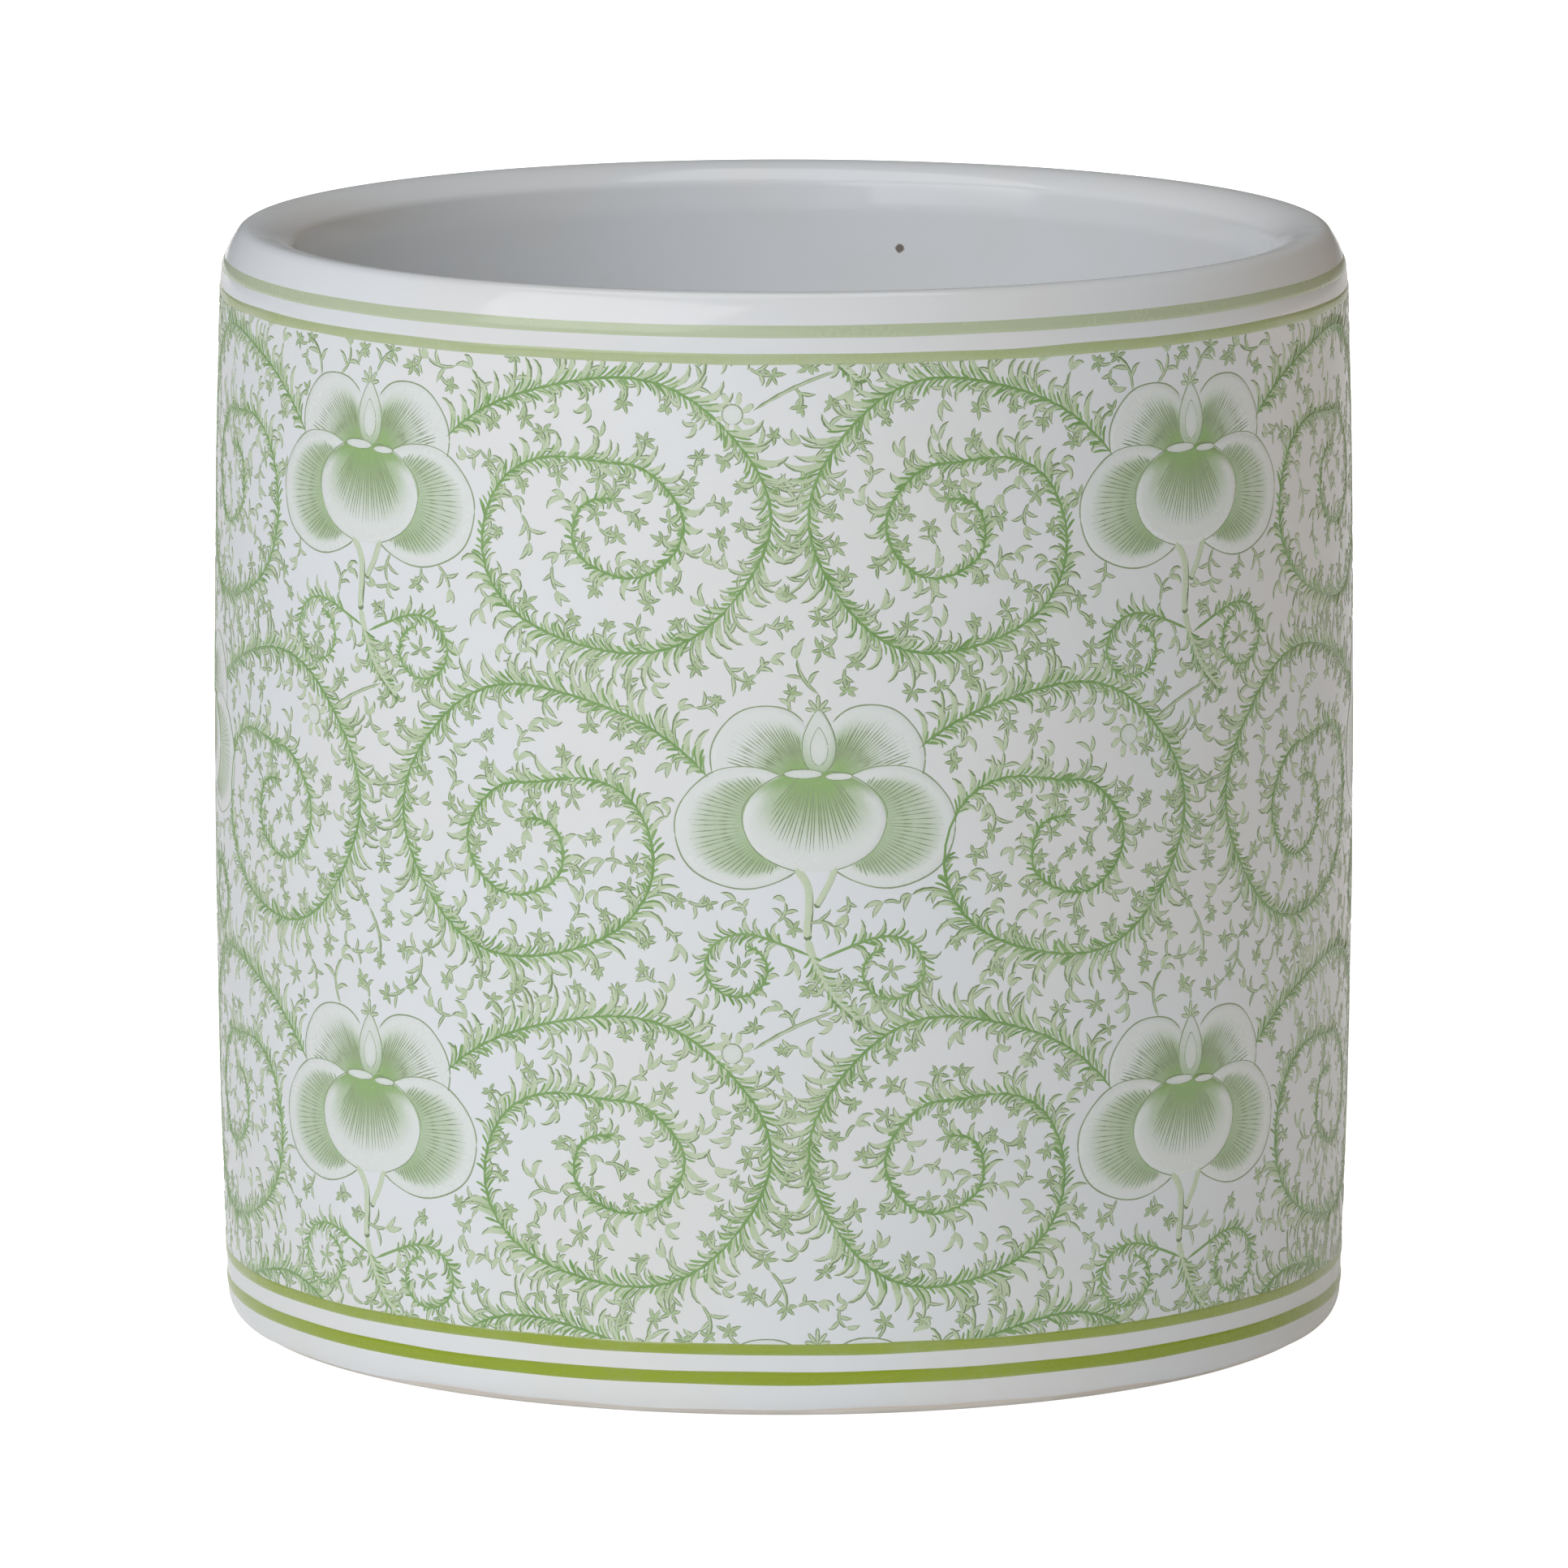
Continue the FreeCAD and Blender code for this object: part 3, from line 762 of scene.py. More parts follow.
class Drawing:
    """Strokes and petals laid flat, side by side, until they are made one piece. Lengths are in metres."""

    def __init__(self):
        self.points = []
        self.faces = []
        self.tones = []
        self.count = 0

    def add(self, points, faces, tones):
        """Adds one closed shape."""
        self.points.append(points)
        self.faces.extend(tuple(i + self.count for i in face) for face in faces)
        self.tones.append(np.broadcast_to(tones, len(points)))
        self.count += len(points)

    def stroke(self, blank, line, half_width, bed, crest, tones):
        """Lays a stroke along a line that has one point for each station of the blank. Tones run along it."""
        direction = np.gradient(line, axis=0)
        direction /= np.maximum(np.hypot(direction[:, 0], direction[:, 1])[:, None], 1e-12)
        normal = np.stack([-direction[:, 1], direction[:, 0]], axis=1)
        at = blank.stations
        across = blank.points[:, 1:2] * half_width
        flat = line[at] + normal[at] * across
        height = bed + (crest - bed) * blank.points[:, 2:3]
        along = np.linspace(tones[0], tones[1], len(line))[at]
        self.add(np.hstack([flat, height]), blank.faces, along)


def bent_line(blank, start, heading, reach, curl, hook=1.0):
    """A line that leaves a point at a heading and turns by curl, faster towards its end if hook is over 1."""
    fine = np.linspace(0.0, 1.0, 33)
    middle = 0.5 * (fine[1:] + fine[:-1])
    angles = heading + curl * middle ** hook
    steps = np.stack([np.cos(angles), np.sin(angles)], axis=1) * (reach / len(middle))
    whole = np.vstack([[0.0, 0.0], np.cumsum(steps, axis=0)])
    found = np.stack([np.interp(blank.places, fine, whole[:, k]) for k in (0, 1)], axis=1)
    return found + np.asarray(start)


# ------------------------------------------------------------ scroll drawing

# the strokes' stations: the place along the stroke and the share of the stroke's width there
LEAF = ((0.0, 0.0), (0.2, 0.62), (0.55, 1.0), (0.85, 0.82), (1.0, 0.0))
LOBE = ((0.0, 0.0), (0.35, 1.0), (0.72, 0.8), (1.0, 0.0))
SICKLE = ((0.0, 0.0), (0.14, 0.65), (0.32, 0.95), (0.52, 1.0), (0.7, 0.78), (0.86, 0.45), (1.0, 0.0))
STALK = ((0.0, 0.0), (0.12, 0.8), (0.3, 0.9), (0.5, 1.0), (0.7, 1.0), (0.88, 0.85), (1.0, 0.0))
HAIR = ((0.0, 0.0), (0.3, 1.0), (0.7, 0.75), (1.0, 0.0))
STEM_STATIONS = 25
STEM = tuple(zip(np.linspace(0.0, 1.0, STEM_STATIONS), [0.0] + [1.0] * (STEM_STATIONS - 2) + [0.0]))

# heights of the strokes over the glaze, and how much higher one may lie than its neighbour
OUTLINE_CREST = 0.055 * MM
FILLING_CREST = 0.085 * MM
FRINGE_CREST = (0.09, 0.105)
CREST_PLAY = 0.015
LEAST_FILLING = 0.08 * MM
FILLING_SHARE = 0.96

# the scroll: where it starts, how many turns it makes, when its wide loop falls into the small one, and the
# small one's share of the wide one's radius with what it loses in a turn
SCROLL_START = math.radians(151.0)
SCROLL_TURNS = 2.16
FALL_START, FALL_TURNS = 0.84, 0.34
SMALL_LOOP, SMALL_LOSS, SMALL_FROM = 0.45, 0.4, 1.5
SCROLL_TALL = 0.94

# leaves and stalks beside a stem: how far they lean from it and curl, in degrees, and their distances in mm
FRINGE_LEAN = (18.0, 38.0)
FRINGE_GROUP = (5.5, 7.5)
SICKLE_LEAN = (18.0, 36.0)
SICKLE_CURL = (60.0, 115.0)
SICKLE_GAP = (1.6, 2.8)
STALK_LEAN = (25.0, 50.0)
STALK_CURL = (45.0, 100.0)
STALK_REACH = (3.6, 5.8)
STALK_GAP = (4.6, 7.5)
FLORET_LOBES = 5
FLORET_OPENING = (230.0, 290.0)

# the lines on petals: steps round a rim, its width and rise over the petal in mm, the spots tested along a
# hair, its half width, and how far its foot is sunk in the petal and its crest rises over it in mm
RIM_STEPS = 145
RIM_WIDTH = 0.34 * MM
RIM_RISE = 0.028
HAIR_SPOTS = 24
HAIR_HALF_WIDTH = 0.13 * MM
HAIR_SUNK, HAIR_RISE = 0.006, 0.02

# the flowers of one repeat: place, reach and stretch of the scrolls at the right and left, their drop, and
# the rows, counted from the first, in which the flower comes back
FLOWERS = (((4.3 * MM, 86.0 * MM), (37.5, 1.0), (42.0, 1.01), 2.8 * MM, (0, 1, -1)),
           ((-66.2 * MM, 129.0 * MM), (42.0, 1.08), (40.2, 0.96), 1.0 * MM, (0, -1)))

# the open ground: distance and margin of the tested spots, reach of a new sprig's shadow, and its bend
GROUND_STEP = 1.1 * MM
GROUND_MARGIN = 0.4 * MM
GROUND_WINDOW = 14.0 * MM
GROUND_BEND = (40.0, 85.0)


class Scrolls:
    """Everything that is drawn in one repeat of the scroll band, flat: across in x, up in y."""

    LAYERS = ("outlines", "fillings", "stems", "petals", "petal_lines")

    def __init__(self, form, enamel):
        self.enamel = enamel
        self.draw = random.Random(enamel.seed)
        self.width = FULL_TURN * form.belly_radius / QUARTERS
        self.layers = {name: Drawing() for name in self.LAYERS}
        self.leaf, self.lobe, self.sickle, self.stalk, self.hair, self.stem = (
            Blank(stations) for stations in (LEAF, LOBE, SICKLE, STALK, HAIR, STEM))
        self.disc = petal_blank()
        self.petals = []
        self.taken = []

    # -- places

    @staticmethod
    def in_band(point):
        """Whether a flat point is inside the band's height."""
        return BAND_LOW < point[1] < BAND_HIGH

    def under_petal(self, points, spare=0.25 * MM):
        """Whether any of these flat points lies on a petal, in this repeat or a neighbouring one."""
        return bool(self.petal_hits(points, spare).any())

    def petal_hits(self, points, spare=0.25 * MM):
        """Which of these flat points lie on a petal, in this repeat or a neighbouring one."""
        centres = np.array([origin + petal.centre * MM for origin, petal in self.petals])
        radii = np.array([petal.radii * MM + spare for _, petal in self.petals])
        away = points[:, None, :] - centres[None, :, :]
        away[..., 0] -= self.width * np.round(away[..., 0] / self.width)
        return (((away / radii) ** 2).sum(axis=2) < 1.0).any(axis=1)

    # -- single marks

    def allowed(self, line):
        """Whether a line touches the band and keeps off the petals."""
        return any(self.in_band(p) for p in line) and not self.under_petal(line[1:])

    def blade(self, blank, line, width, tone, fill=(0.5, 0.1), force=False):
        """A leaf, lobe or stalk: a dark stroke and a narrower pale filling. Says whether it was laid."""
        if not (force or self.allowed(line)):
            return False
        lift = self.draw.uniform(0.0, CREST_PLAY) * MM
        half = 0.5 * width
        inner = half - self.enamel.outline
        crest = OUTLINE_CREST + lift
        self.layers["outlines"].stroke(blank, line, half, -self.enamel.bed, crest, (tone, tone))
        if inner > LEAST_FILLING:
            shorter = line[0] + (line - line[0]) * FILLING_SHARE
            self.layers["fillings"].stroke(blank, shorter, inner, 0.0, FILLING_CREST + lift, fill)
        self.taken.extend(line)
        return True

    def path(self, layer, line_at, start, end, width, tone, pieces=None, crest=None):
        """A long even stroke along a path given as a function, laid as several overlapping strokes."""
        crest = crest or self.enamel.thickness
        pieces = pieces or max(1, round((end - start) / 0.5))
        cuts = np.linspace(start, end, pieces + 1)
        overlap = 0.012 * (end - start) / pieces
        for low, high in zip(cuts[:-1], cuts[1:]):
            places = np.linspace(low - overlap, high + overlap, STEM_STATIONS)
            line = np.array([line_at(t) for t in places])
            if any(self.in_band(p) for p in line):
                self.layers[layer].stroke(self.stem, line, 0.5 * width, -self.enamel.bed, crest, (tone, tone))
            self.taken.extend(line[::3])

    def floret(self, place, heading, size):
        """A small star of pointed lobes at the end of a stalk."""
        opening = math.radians(self.draw.uniform(*FLORET_OPENING))
        tone = self.draw.uniform(0.5, 0.9)
        for k in range(FLORET_LOBES):
            angle = heading - 0.5 * opening + opening * k / (FLORET_LOBES - 1) + self.draw.uniform(-0.2, 0.2)
            reach = size * self.draw.uniform(0.75, 1.25)
            line = bent_line(self.lobe, place, angle, reach, self.draw.uniform(-0.6, 0.6))
            self.blade(self.lobe, line, self.draw.uniform(0.75, 1.05) * MM, tone, (0.9, 0.5))

    def sprig(self, start, heading, reach, curl, star):
        """A curling stalk that ends in a star or two hooks. A long one has a sickle leaf on each side."""
        line = bent_line(self.stalk, start, heading, reach, curl, 1.4)
        if not self.blade(self.stalk, line, 0.78 * MM, self.draw.uniform(0.35, 0.7), (0.6, 0.25)):
            return
        if reach > 2.6 * MM:
            first = self.draw.choice((-1.0, 1.0))
            for station, side in ((2, first), (3, -first)):
                lean = heading + 0.35 * curl + side * math.radians(self.draw.uniform(28.0, 55.0))
                size = self.draw.uniform(0.5, 0.8) * min(reach, 4.6 * MM)
                turned = side * self.draw.uniform(0.5, 1.3)
                leaf = bent_line(self.sickle, line[station], lean, size, turned, 1.6)
                self.blade(self.sickle, leaf, self.draw.uniform(0.75, 1.0) * MM, self.draw.uniform(0.4, 0.8))
        if star:
            self.floret(line[-1], heading + curl, self.draw.uniform(1.25, 1.9) * MM)
            return
        for side in (-1.0, 0.2):
            hook = bent_line(self.sickle, line[-1], heading + curl * (1.0 + 0.6 * side),
                             self.draw.uniform(2.0, 3.6) * MM, curl * self.draw.uniform(0.7, 1.6), 1.6)
            self.blade(self.sickle, hook, self.draw.uniform(0.95, 1.3) * MM, self.draw.uniform(0.4, 0.85))

    # -- scrolls

    def spiral_at(self, centre, side, stretch, drop):
        """The path of one scroll as a function of turns: a wide loop that falls into a small one."""
        outer = self.enamel.spiral_radius

        def at(t):
            fall = min(max((t - FALL_START) / FALL_TURNS, 0.0), 1.0)
            fall = fall * fall * (3.0 - 2.0 * fall)
            wide = 1.0 + 0.25 * math.exp(-t / 0.08)
            small = SMALL_LOOP - SMALL_LOSS * max(t - SMALL_FROM, 0.0)
            angle = SCROLL_START - FULL_TURN * t
            radius = outer * (wide + (small - wide) * fall) * (1.0 + 0.02 * math.sin(5.0 * angle + 1.3))
            return np.array([centre[0] + side * stretch * radius * math.cos(angle),
                             centre[1] + SCROLL_TALL * radius * math.sin(angle) - drop * fall])

        return at

    @staticmethod
    def track(line_at, start, end):
        """A path by its length: a function from distance to place and heading, and the whole length."""
        turns = np.linspace(start, end, 1200)
        line = np.array([line_at(t) for t in turns])
        travelled = np.concatenate([[0.0], np.cumsum(np.hypot(*np.diff(line, axis=0).T))])
        headings = np.unwrap(np.arctan2(*np.gradient(line, axis=0).T[::-1]))

        def at(distance):
            place = np.array([np.interp(distance, travelled, line[:, k]) for k in (0, 1)])
            return place, float(np.interp(distance, travelled, headings))

        return at, travelled[-1]

    def dress(self, line_at, start, end, size, stalks, outside=0.0):
        """Leaves on both edges of a stem, longer on the outside edge: -1, 1, or 0 for neither."""
        at, whole = self.track(line_at, start, end)
        for edge in (-1.0, 1.0):
            longer = size * (1.0 + 0.22 * edge * outside)
            self.fringe(at, whole, edge, size)
            self.sickles(at, whole, edge, longer)
            if stalks:
                self.stalks(at, whole, edge, longer)

    def fringe(self, at, whole, edge, size):
        """Short close leaves in swelling groups, which make a stem look feathered."""
        phase = self.draw.uniform(0.0, FULL_TURN)
        group = self.draw.uniform(*FRINGE_GROUP) * MM
        gone = self.draw.uniform(0.3, 1.0) * self.enamel.leaf_spacing
        while gone < whole:
            place, heading = at(gone)
            fade = min(1.0, 0.5 + 0.9 * (1.0 - gone / whole))
            swell = (0.5 + 0.5 * math.sin(FULL_TURN * gone / group + phase)) ** 1.4
            share = 0.35 + 0.45 * swell + self.draw.uniform(0.0, 0.2)
            reach = share * self.enamel.leaf_length * fade * size
            lean = edge * math.radians(self.draw.uniform(*FRINGE_LEAN))
            line = bent_line(self.leaf, place, heading + lean, reach, edge * self.draw.uniform(0.3, 1.0), 1.3)
            if self.allowed(line):
                tone = self.draw.uniform(0.15, 0.55) + 0.3 * swell
                crest = self.draw.uniform(*FRINGE_CREST) * MM
                half = self.draw.uniform(0.2, 0.3) * MM
                self.layers["stems"].stroke(self.leaf, line, half, -self.enamel.bed, crest, (tone, tone - 0.2))
                self.taken.append(line[-1])
            gone += self.enamel.leaf_spacing * self.draw.uniform(0.8, 1.25)

    def sickles(self, at, whole, edge, size):
        """Broad pale leaves that leave a stem forwards and hook outwards at their tips."""
        gone = self.draw.uniform(0.5, 2.0) * MM
        while gone < whole:
            place, heading = at(gone)
            fade = min(1.0, 0.55 + 0.9 * (1.0 - gone / whole))
            reach = self.draw.uniform(0.95, 1.6) * self.enamel.leaf_length * fade * size
            lean = edge * math.radians(self.draw.uniform(*SICKLE_LEAN))
            curl = edge * math.radians(self.draw.uniform(*SICKLE_CURL))
            line = bent_line(self.sickle, place, heading + lean, reach, curl, 1.7)
            width = self.enamel.leaf_width * self.draw.uniform(0.8, 1.15) * (0.5 + 0.5 * size)
            self.blade(self.sickle, line, width, self.draw.uniform(0.3, 0.75))
            gone += self.draw.uniform(*SICKLE_GAP) * MM

    def stalks(self, at, whole, edge, size):
        """Stalks between the leaves, that end in stars or hooks."""
        gone = self.draw.uniform(2.0, 6.0) * MM
        while gone < whole:
            place, heading = at(gone)
            fade = min(1.0, 0.5 + 0.9 * (1.0 - gone / whole))
            reach = self.draw.uniform(*STALK_REACH) * MM * fade * size
            lean = edge * math.radians(self.draw.uniform(*STALK_LEAN))
            curl = edge * math.radians(self.draw.uniform(*STALK_CURL))
            self.sprig(place, heading + lean, reach, curl, self.draw.random() < 0.6)
            gone += self.draw.uniform(*STALK_GAP) * MM

    def scroll(self, origin, side, reach, stretch, drop):
        """One scroll beside a flower: its stem, then its leaves."""
        centre = (origin[0] + side * reach * MM, origin[1] - 0.6 * drop)
        line_at = self.spiral_at(centre, side, stretch, drop)
        start = 0.0
        while start > -0.1 and not self.under_petal(np.array([line_at(start)]), 0.0):
            start -= 0.004
        self.path("stems", line_at, start, SCROLL_TURNS, self.enamel.stem_width, 0.6)
        self.dress(line_at, start, SCROLL_TURNS, 1.0, True, outside=side)
        tip = line_at(SCROLL_TURNS)
        before = line_at(SCROLL_TURNS - 0.02)
        heading = math.atan2(tip[1] - before[1], tip[0] - before[0])
        self.floret(tip, heading, 2.0 * MM)

    # -- flower

    def flower(self, origin):
        """The open flower: two side petals, two upper ones, a bud between them and the round pouch in front."""
        pouch = Petal((0.0, 0.0), (10.2, 7.3), 0.062, pouch_wash)
        left = Petal((-9.8, -1.0), (10.0, 8.7), 0.034, side_wash)
        right = Petal((10.2, -1.0), (10.0, 8.7), 0.034, side_wash)
        upper_left = Petal((-7.0, 8.4), (7.6, 8.0), 0.026, upper_wash)
        upper_right = Petal((8.0, 8.4), (7.6, 8.0), 0.026, upper_wash)
        bud = Petal((0.6, 11.2), (2.6, 4.6), 0.07, bud_wash, 0.6)
        heart = Petal((0.6, 10.6), (1.35, 2.7), 0.085, rim_wash, 0.6)
        covers = ((upper_left, (left, pouch, bud, upper_right)), (upper_right, (right, pouch, bud)),
                  (left, (pouch,)), (right, (pouch,)), (pouch, (bud,)), (bud, (pouch,)))
        for petal, covering in covers:
            self.lay_petal(origin, petal)
            self.rim(origin, petal, covering)
        fans = ((pouch, (0.3, 9.4), (-152.0, -28.0), 42, (4.2, 0.66), ()),
                (left, (-4.0, -0.2), (84.0, 292.0), 56, (4.0, 0.83), (pouch,)),
                (right, (4.4, -0.2), (-112.0, 96.0), 56, (4.0, 0.83), (pouch,)),
                (upper_left, (-0.4, 5.0), (92.0, 168.0), 30, (3.4, 0.74), (bud, left, pouch)),
                (upper_right, (1.6, 5.0), (12.0, 88.0), 30, (3.4, 0.74), (bud, right, pouch)))
        for fan in fans:
            self.hatch(origin, *fan)
        lenses = [Petal(place, size, 0.10, rim_wash) for place, size in (((-1.6, 6.7), (2.7, 0.62)),
                                                                       ((3.4, 6.3), (1.9, 0.5)))]
        for petal in (heart, *lenses):
            self.lay_petal(origin, petal)
            self.rim(origin, petal)
        self.crown(origin, (0.5, 15.4), 90.0, 5, 2.6)

    def lay_petal(self, origin, petal):
        """Fills a petal with its wash of enamel."""
        self.petals.append((origin, petal))
        points, faces = self.disc
        flat = (petal.pointed(points[:, :2]) * petal.radii + petal.centre) * MM
        height = -self.enamel.bed + (petal.crest * MM + self.enamel.bed) * points[:, 2:3]
        self.layers["petals"].add(np.hstack([flat + origin, height]), faces, petal.wash(petal, flat / MM))
        self.taken.extend(flat[::3] + origin)

    def rim(self, origin, petal, covering=()):
        """The thin line round a petal, left out where another petal lies over it."""
        angles = np.linspace(0.0, FULL_TURN, RIM_STEPS)
        places = petal.edge(angles)
        open_here = np.ones(RIM_STEPS, bool)
        for cover in covering:
            open_here &= ~cover.holds(places, 0.985)
        runs = np.flatnonzero(np.diff(np.concatenate([[0], open_here.astype(int), [0]])))
        for low, high in zip(runs[::2], runs[1::2] - 1):
            if high - low < 3:
                continue
            self.path("petal_lines", lambda t: petal.edge(t) * MM + origin, angles[low], angles[high],
                      RIM_WIDTH, 0.35, max(1, round((angles[high] - angles[low]) / 2.1)),
                      (petal.crest + RIM_RISE) * MM)

    def hatch(self, origin, petal, fan, opening, count, reach, covering):
        """Fine lines that fan out over a petal from near its root and stop short of its pale rim."""
        first, share = reach
        for k in range(count):
            angle = math.radians(opening[0] + (opening[1] - opening[0]) * (k + 0.5) / count)
            angle += self.draw.uniform(-0.012, 0.012)
            ray = np.array([math.cos(angle), math.sin(angle)])
            far = petal.along_ray(np.array(fan), ray, share * self.draw.uniform(0.93, 1.04))
            near = first * self.draw.uniform(0.9, 1.35)
            spots = np.array([np.array(fan) + ray * d for d in np.linspace(near, max(far, near), HAIR_SPOTS)])
            free = np.ones(HAIR_SPOTS, bool)
            for cover in covering:
                free &= ~cover.holds(spots, 1.0)
            spots = spots[free]
            if far - near < 0.6 or len(spots) < 5:
                continue
            line = spots[0] + np.outer(self.hair.places, spots[-1] - spots[0])
            if any(self.in_band(p) for p in line * MM + origin):
                bed = (petal.crest - HAIR_SUNK) * MM
                crest = (petal.crest + HAIR_RISE) * MM
                self.layers["petal_lines"].stroke(self.hair, line * MM + origin, HAIR_HALF_WIDTH, bed, crest,
                                                  (0.2, 0.6))

    def crown(self, origin, place, middle, count, reach):
        """A small fan of leaves."""
        for k in range(count):
            share = k / (count - 1) - 0.5
            heading = math.radians(middle - 130.0 * share)
            line = bent_line(self.leaf, np.array(place) * MM + origin, heading,
                             reach * (1.0 - 0.5 * abs(share)) * MM, -0.7 * share)
            self.blade(self.leaf, line, 0.9 * MM, 0.7, force=True)

    def stalks_below(self, origin):
        """The forked stem under a flower, a curl on each side of it and a round bud."""
        main = through(((-2.6, -6.6), (-0.9, -9.4), (-0.7, -13.0), (-0.9, -17.0), (0.6, -21.5), (3.2, -25.6),
                        (6.6, -29.0)))
        side = through(((3.0, -6.6), (1.7, -9.6), (0.2, -12.2)))
        for path, last, width in ((main, 6.0, 1.5), (side, 2.0, 1.25)):
            pieces = max(1, round(last / 3.0))
            for k in range(pieces):
                places = np.linspace(last * k / pieces - 0.05, last * (k + 1) / pieces + 0.05, STEM_STATIONS)
                line = np.array([path(t) for t in places]) * MM + origin
                self.blade(self.stem, line, width * MM, 0.85, (0.1, 0.0), force=True)
        self.dress(lambda t: main(t) * MM + origin, 3.4, 6.0, 0.85, True)
        for centre, way in (((-10.6, -21.0), -1.0), ((10.8, -21.5), 1.0)):
            curl_at = curl_path(origin, centre, way)
            self.path("stems", curl_at, 0.0, 1.18, 0.5 * MM, 0.4, 3)
            self.dress(curl_at, 0.05, 1.15, 0.7, False)
            self.floret(np.array(centre) * MM + origin, math.radians(90.0), 2.0 * MM)
        self.round_bud(origin, (-11.6, -33.2))

    def round_bud(self, origin, place):
        """A little round flower with a ring of broad leaves, on a stalk from the main stem."""
        start = np.array((3.4, -27.0)) * MM + origin
        stalk = bent_line(self.stalk, start, math.radians(196.0), 13.4 * MM, math.radians(18.0))
        self.blade(self.stalk, stalk, 0.8 * MM, 0.4)
        for k in range(8):
            heading = FULL_TURN * k / 8.0 + 0.3
            root = np.array(place) + 1.1 * np.array((math.cos(heading), math.sin(heading)))
            line = bent_line(self.leaf, root * MM + origin, heading, 2.3 * MM, 0.5)
            self.blade(self.leaf, line, 1.3 * MM, 0.5, (0.2, 0.0))
        bud = Petal(place, (1.4, 1.4), 0.09, rim_wash)
        self.lay_petal(origin, bud)
        self.rim(origin, bud)

    # -- the open ground

    def fill_ground(self):
        """Puts a sprig wherever the ground is still open, the widest opening first."""
        near = kdtree.KDTree(3 * len(self.taken))
        for shift in (-self.width, 0.0, self.width):
            for order, point in enumerate(self.taken):
                near.insert((point[0] + shift, point[1], 0.0), order)
        near.balance()
        across = np.arange(-0.5 * self.width, 0.5 * self.width, GROUND_STEP)
        up = np.arange(BAND_LOW + GROUND_MARGIN, BAND_HIGH - GROUND_MARGIN, GROUND_STEP)
        spots = np.stack(np.meshgrid(across, up), axis=-1).reshape(-1, 2)
        spots = spots[~self.petal_hits(spots)]
        roots = np.array([near.find((x, y, 0.0))[0][:2] for x, y in spots])
        clear = np.hypot(*(spots - roots).T)
        while clear.max() > self.enamel.open_ground:
            best = int(clear.argmax())
            centre = spots[best]
            root = roots[best]
            before = len(self.taken)
            heading = math.atan2(*(centre - root)[::-1])
            bend = self.draw.choice((-1.0, 1.0)) * math.radians(self.draw.uniform(*GROUND_BEND))
            self.sprig(root, heading - 0.42 * bend, 1.2 * clear[best], bend, self.draw.random() < 0.45)
            fresh = np.array(self.taken[before:] + [centre])
            aside = spots - centre
            aside[:, 0] -= self.width * np.round(aside[:, 0] / self.width)
            close = np.flatnonzero((np.abs(aside) < GROUND_WINDOW).all(axis=1))
            local = centre + aside[close]
            gaps = local[:, None, :] - fresh[None, :, :]
            away = np.hypot(gaps[..., 0], gaps[..., 1])
            nearest = away.argmin(axis=1)
            least = away.min(axis=1)
            nearer = least < clear[close]
            moved = fresh[nearest] + spots[close] - local
            clear[close] = np.where(nearer, least, clear[close])
            roots[close] = np.where(nearer[:, None], moved, roots[close])

    def draw_repeat(self):
        """Draws the whole repeat: flowers, the stalks under them, scrolls, and sprigs in the open ground."""
        repeats = [(flower, row * self.enamel.repeat_height) for flower in FLOWERS for row in flower[-1]]
        origins = [np.array((flower[0][0], flower[0][1] + shift)) for flower, shift in repeats]
        for origin in origins:
            self.flower(origin)
        for origin in origins:
            self.stalks_below(origin)
        for origin, ((_, right, left, drop, _), _) in zip(origins, repeats):
            self.scroll(origin, 1.0, *right, drop)
            self.scroll(origin, -1.0, *left, drop)
        self.fill_ground()


class Petal:
    """A petal's place and size in millimetres from the flower's middle, its height and its wash."""

    def __init__(self, centre, radii, crest, wash, point=0.0):
        self.centre = np.array(centre)
        self.radii = np.array(radii)
        self.crest = crest
        self.wash = wash
        self.point = point

    def share(self, places):
        """How far places are from the middle, 1 at the rim."""
        return np.hypot(*((places - self.centre) / self.radii).T)

    def holds(self, places, limit):
        """Which places lie inside that share of the petal."""
        return self.share(places) < limit

    def pointed(self, round_places):
        """Places in a round petal, drawn in towards the tip of a pointed one."""
        narrow = 1.0 - self.point * (0.5 + 0.5 * round_places[..., 1]) ** 2.5
        return np.stack([round_places[..., 0] * narrow, round_places[..., 1]], axis=-1)

    def edge(self, angle):
        """The rim at an angle or angles, a little uneven as drawn by hand."""
        reach = 1.0 + 0.012 * np.sin(3.0 * angle + self.centre[0]) + 0.008 * np.sin(7.0 * angle)
        rim = np.stack([np.cos(angle) * reach, np.sin(angle) * reach], axis=-1)
        return self.pointed(rim) * self.radii + self.centre

    def along_ray(self, start, ray, limit):
        """Distance from a start to that share of the petal along a ray."""
        steps = np.linspace(0.0, 2.5 * self.radii.max(), 200)
        inside = self.holds(start + np.outer(steps, ray), limit)
        return float(steps[inside].max()) if inside.any() else 0.0


def pouch_wash(petal, places):
    """Strong at the top of the pouch, fading in a fan, and pale along its lower rim."""
    x, y = (places - petal.centre).T
    fan = np.clip(1.2 - np.hypot(x / 1.45, y - 6.4) / 10.0, 0.0, 1.0)
    rim = np.clip((0.98 - petal.share(places)) / 0.3, 0.0, 1.0)
    return fan * np.maximum(rim, np.clip((y - 2.0) / 3.0, 0.0, 1.0))


def side_wash(petal, places):
    """Green beside the pouch and pale in a broad rim."""
    inner = np.clip((0.86 - petal.share(places)) / 0.16, 0.0, 1.0)
    towards = np.clip(1.25 - np.abs(places[:, 0]) / 24.0, 0.0, 1.0)
    return inner * towards * 0.78


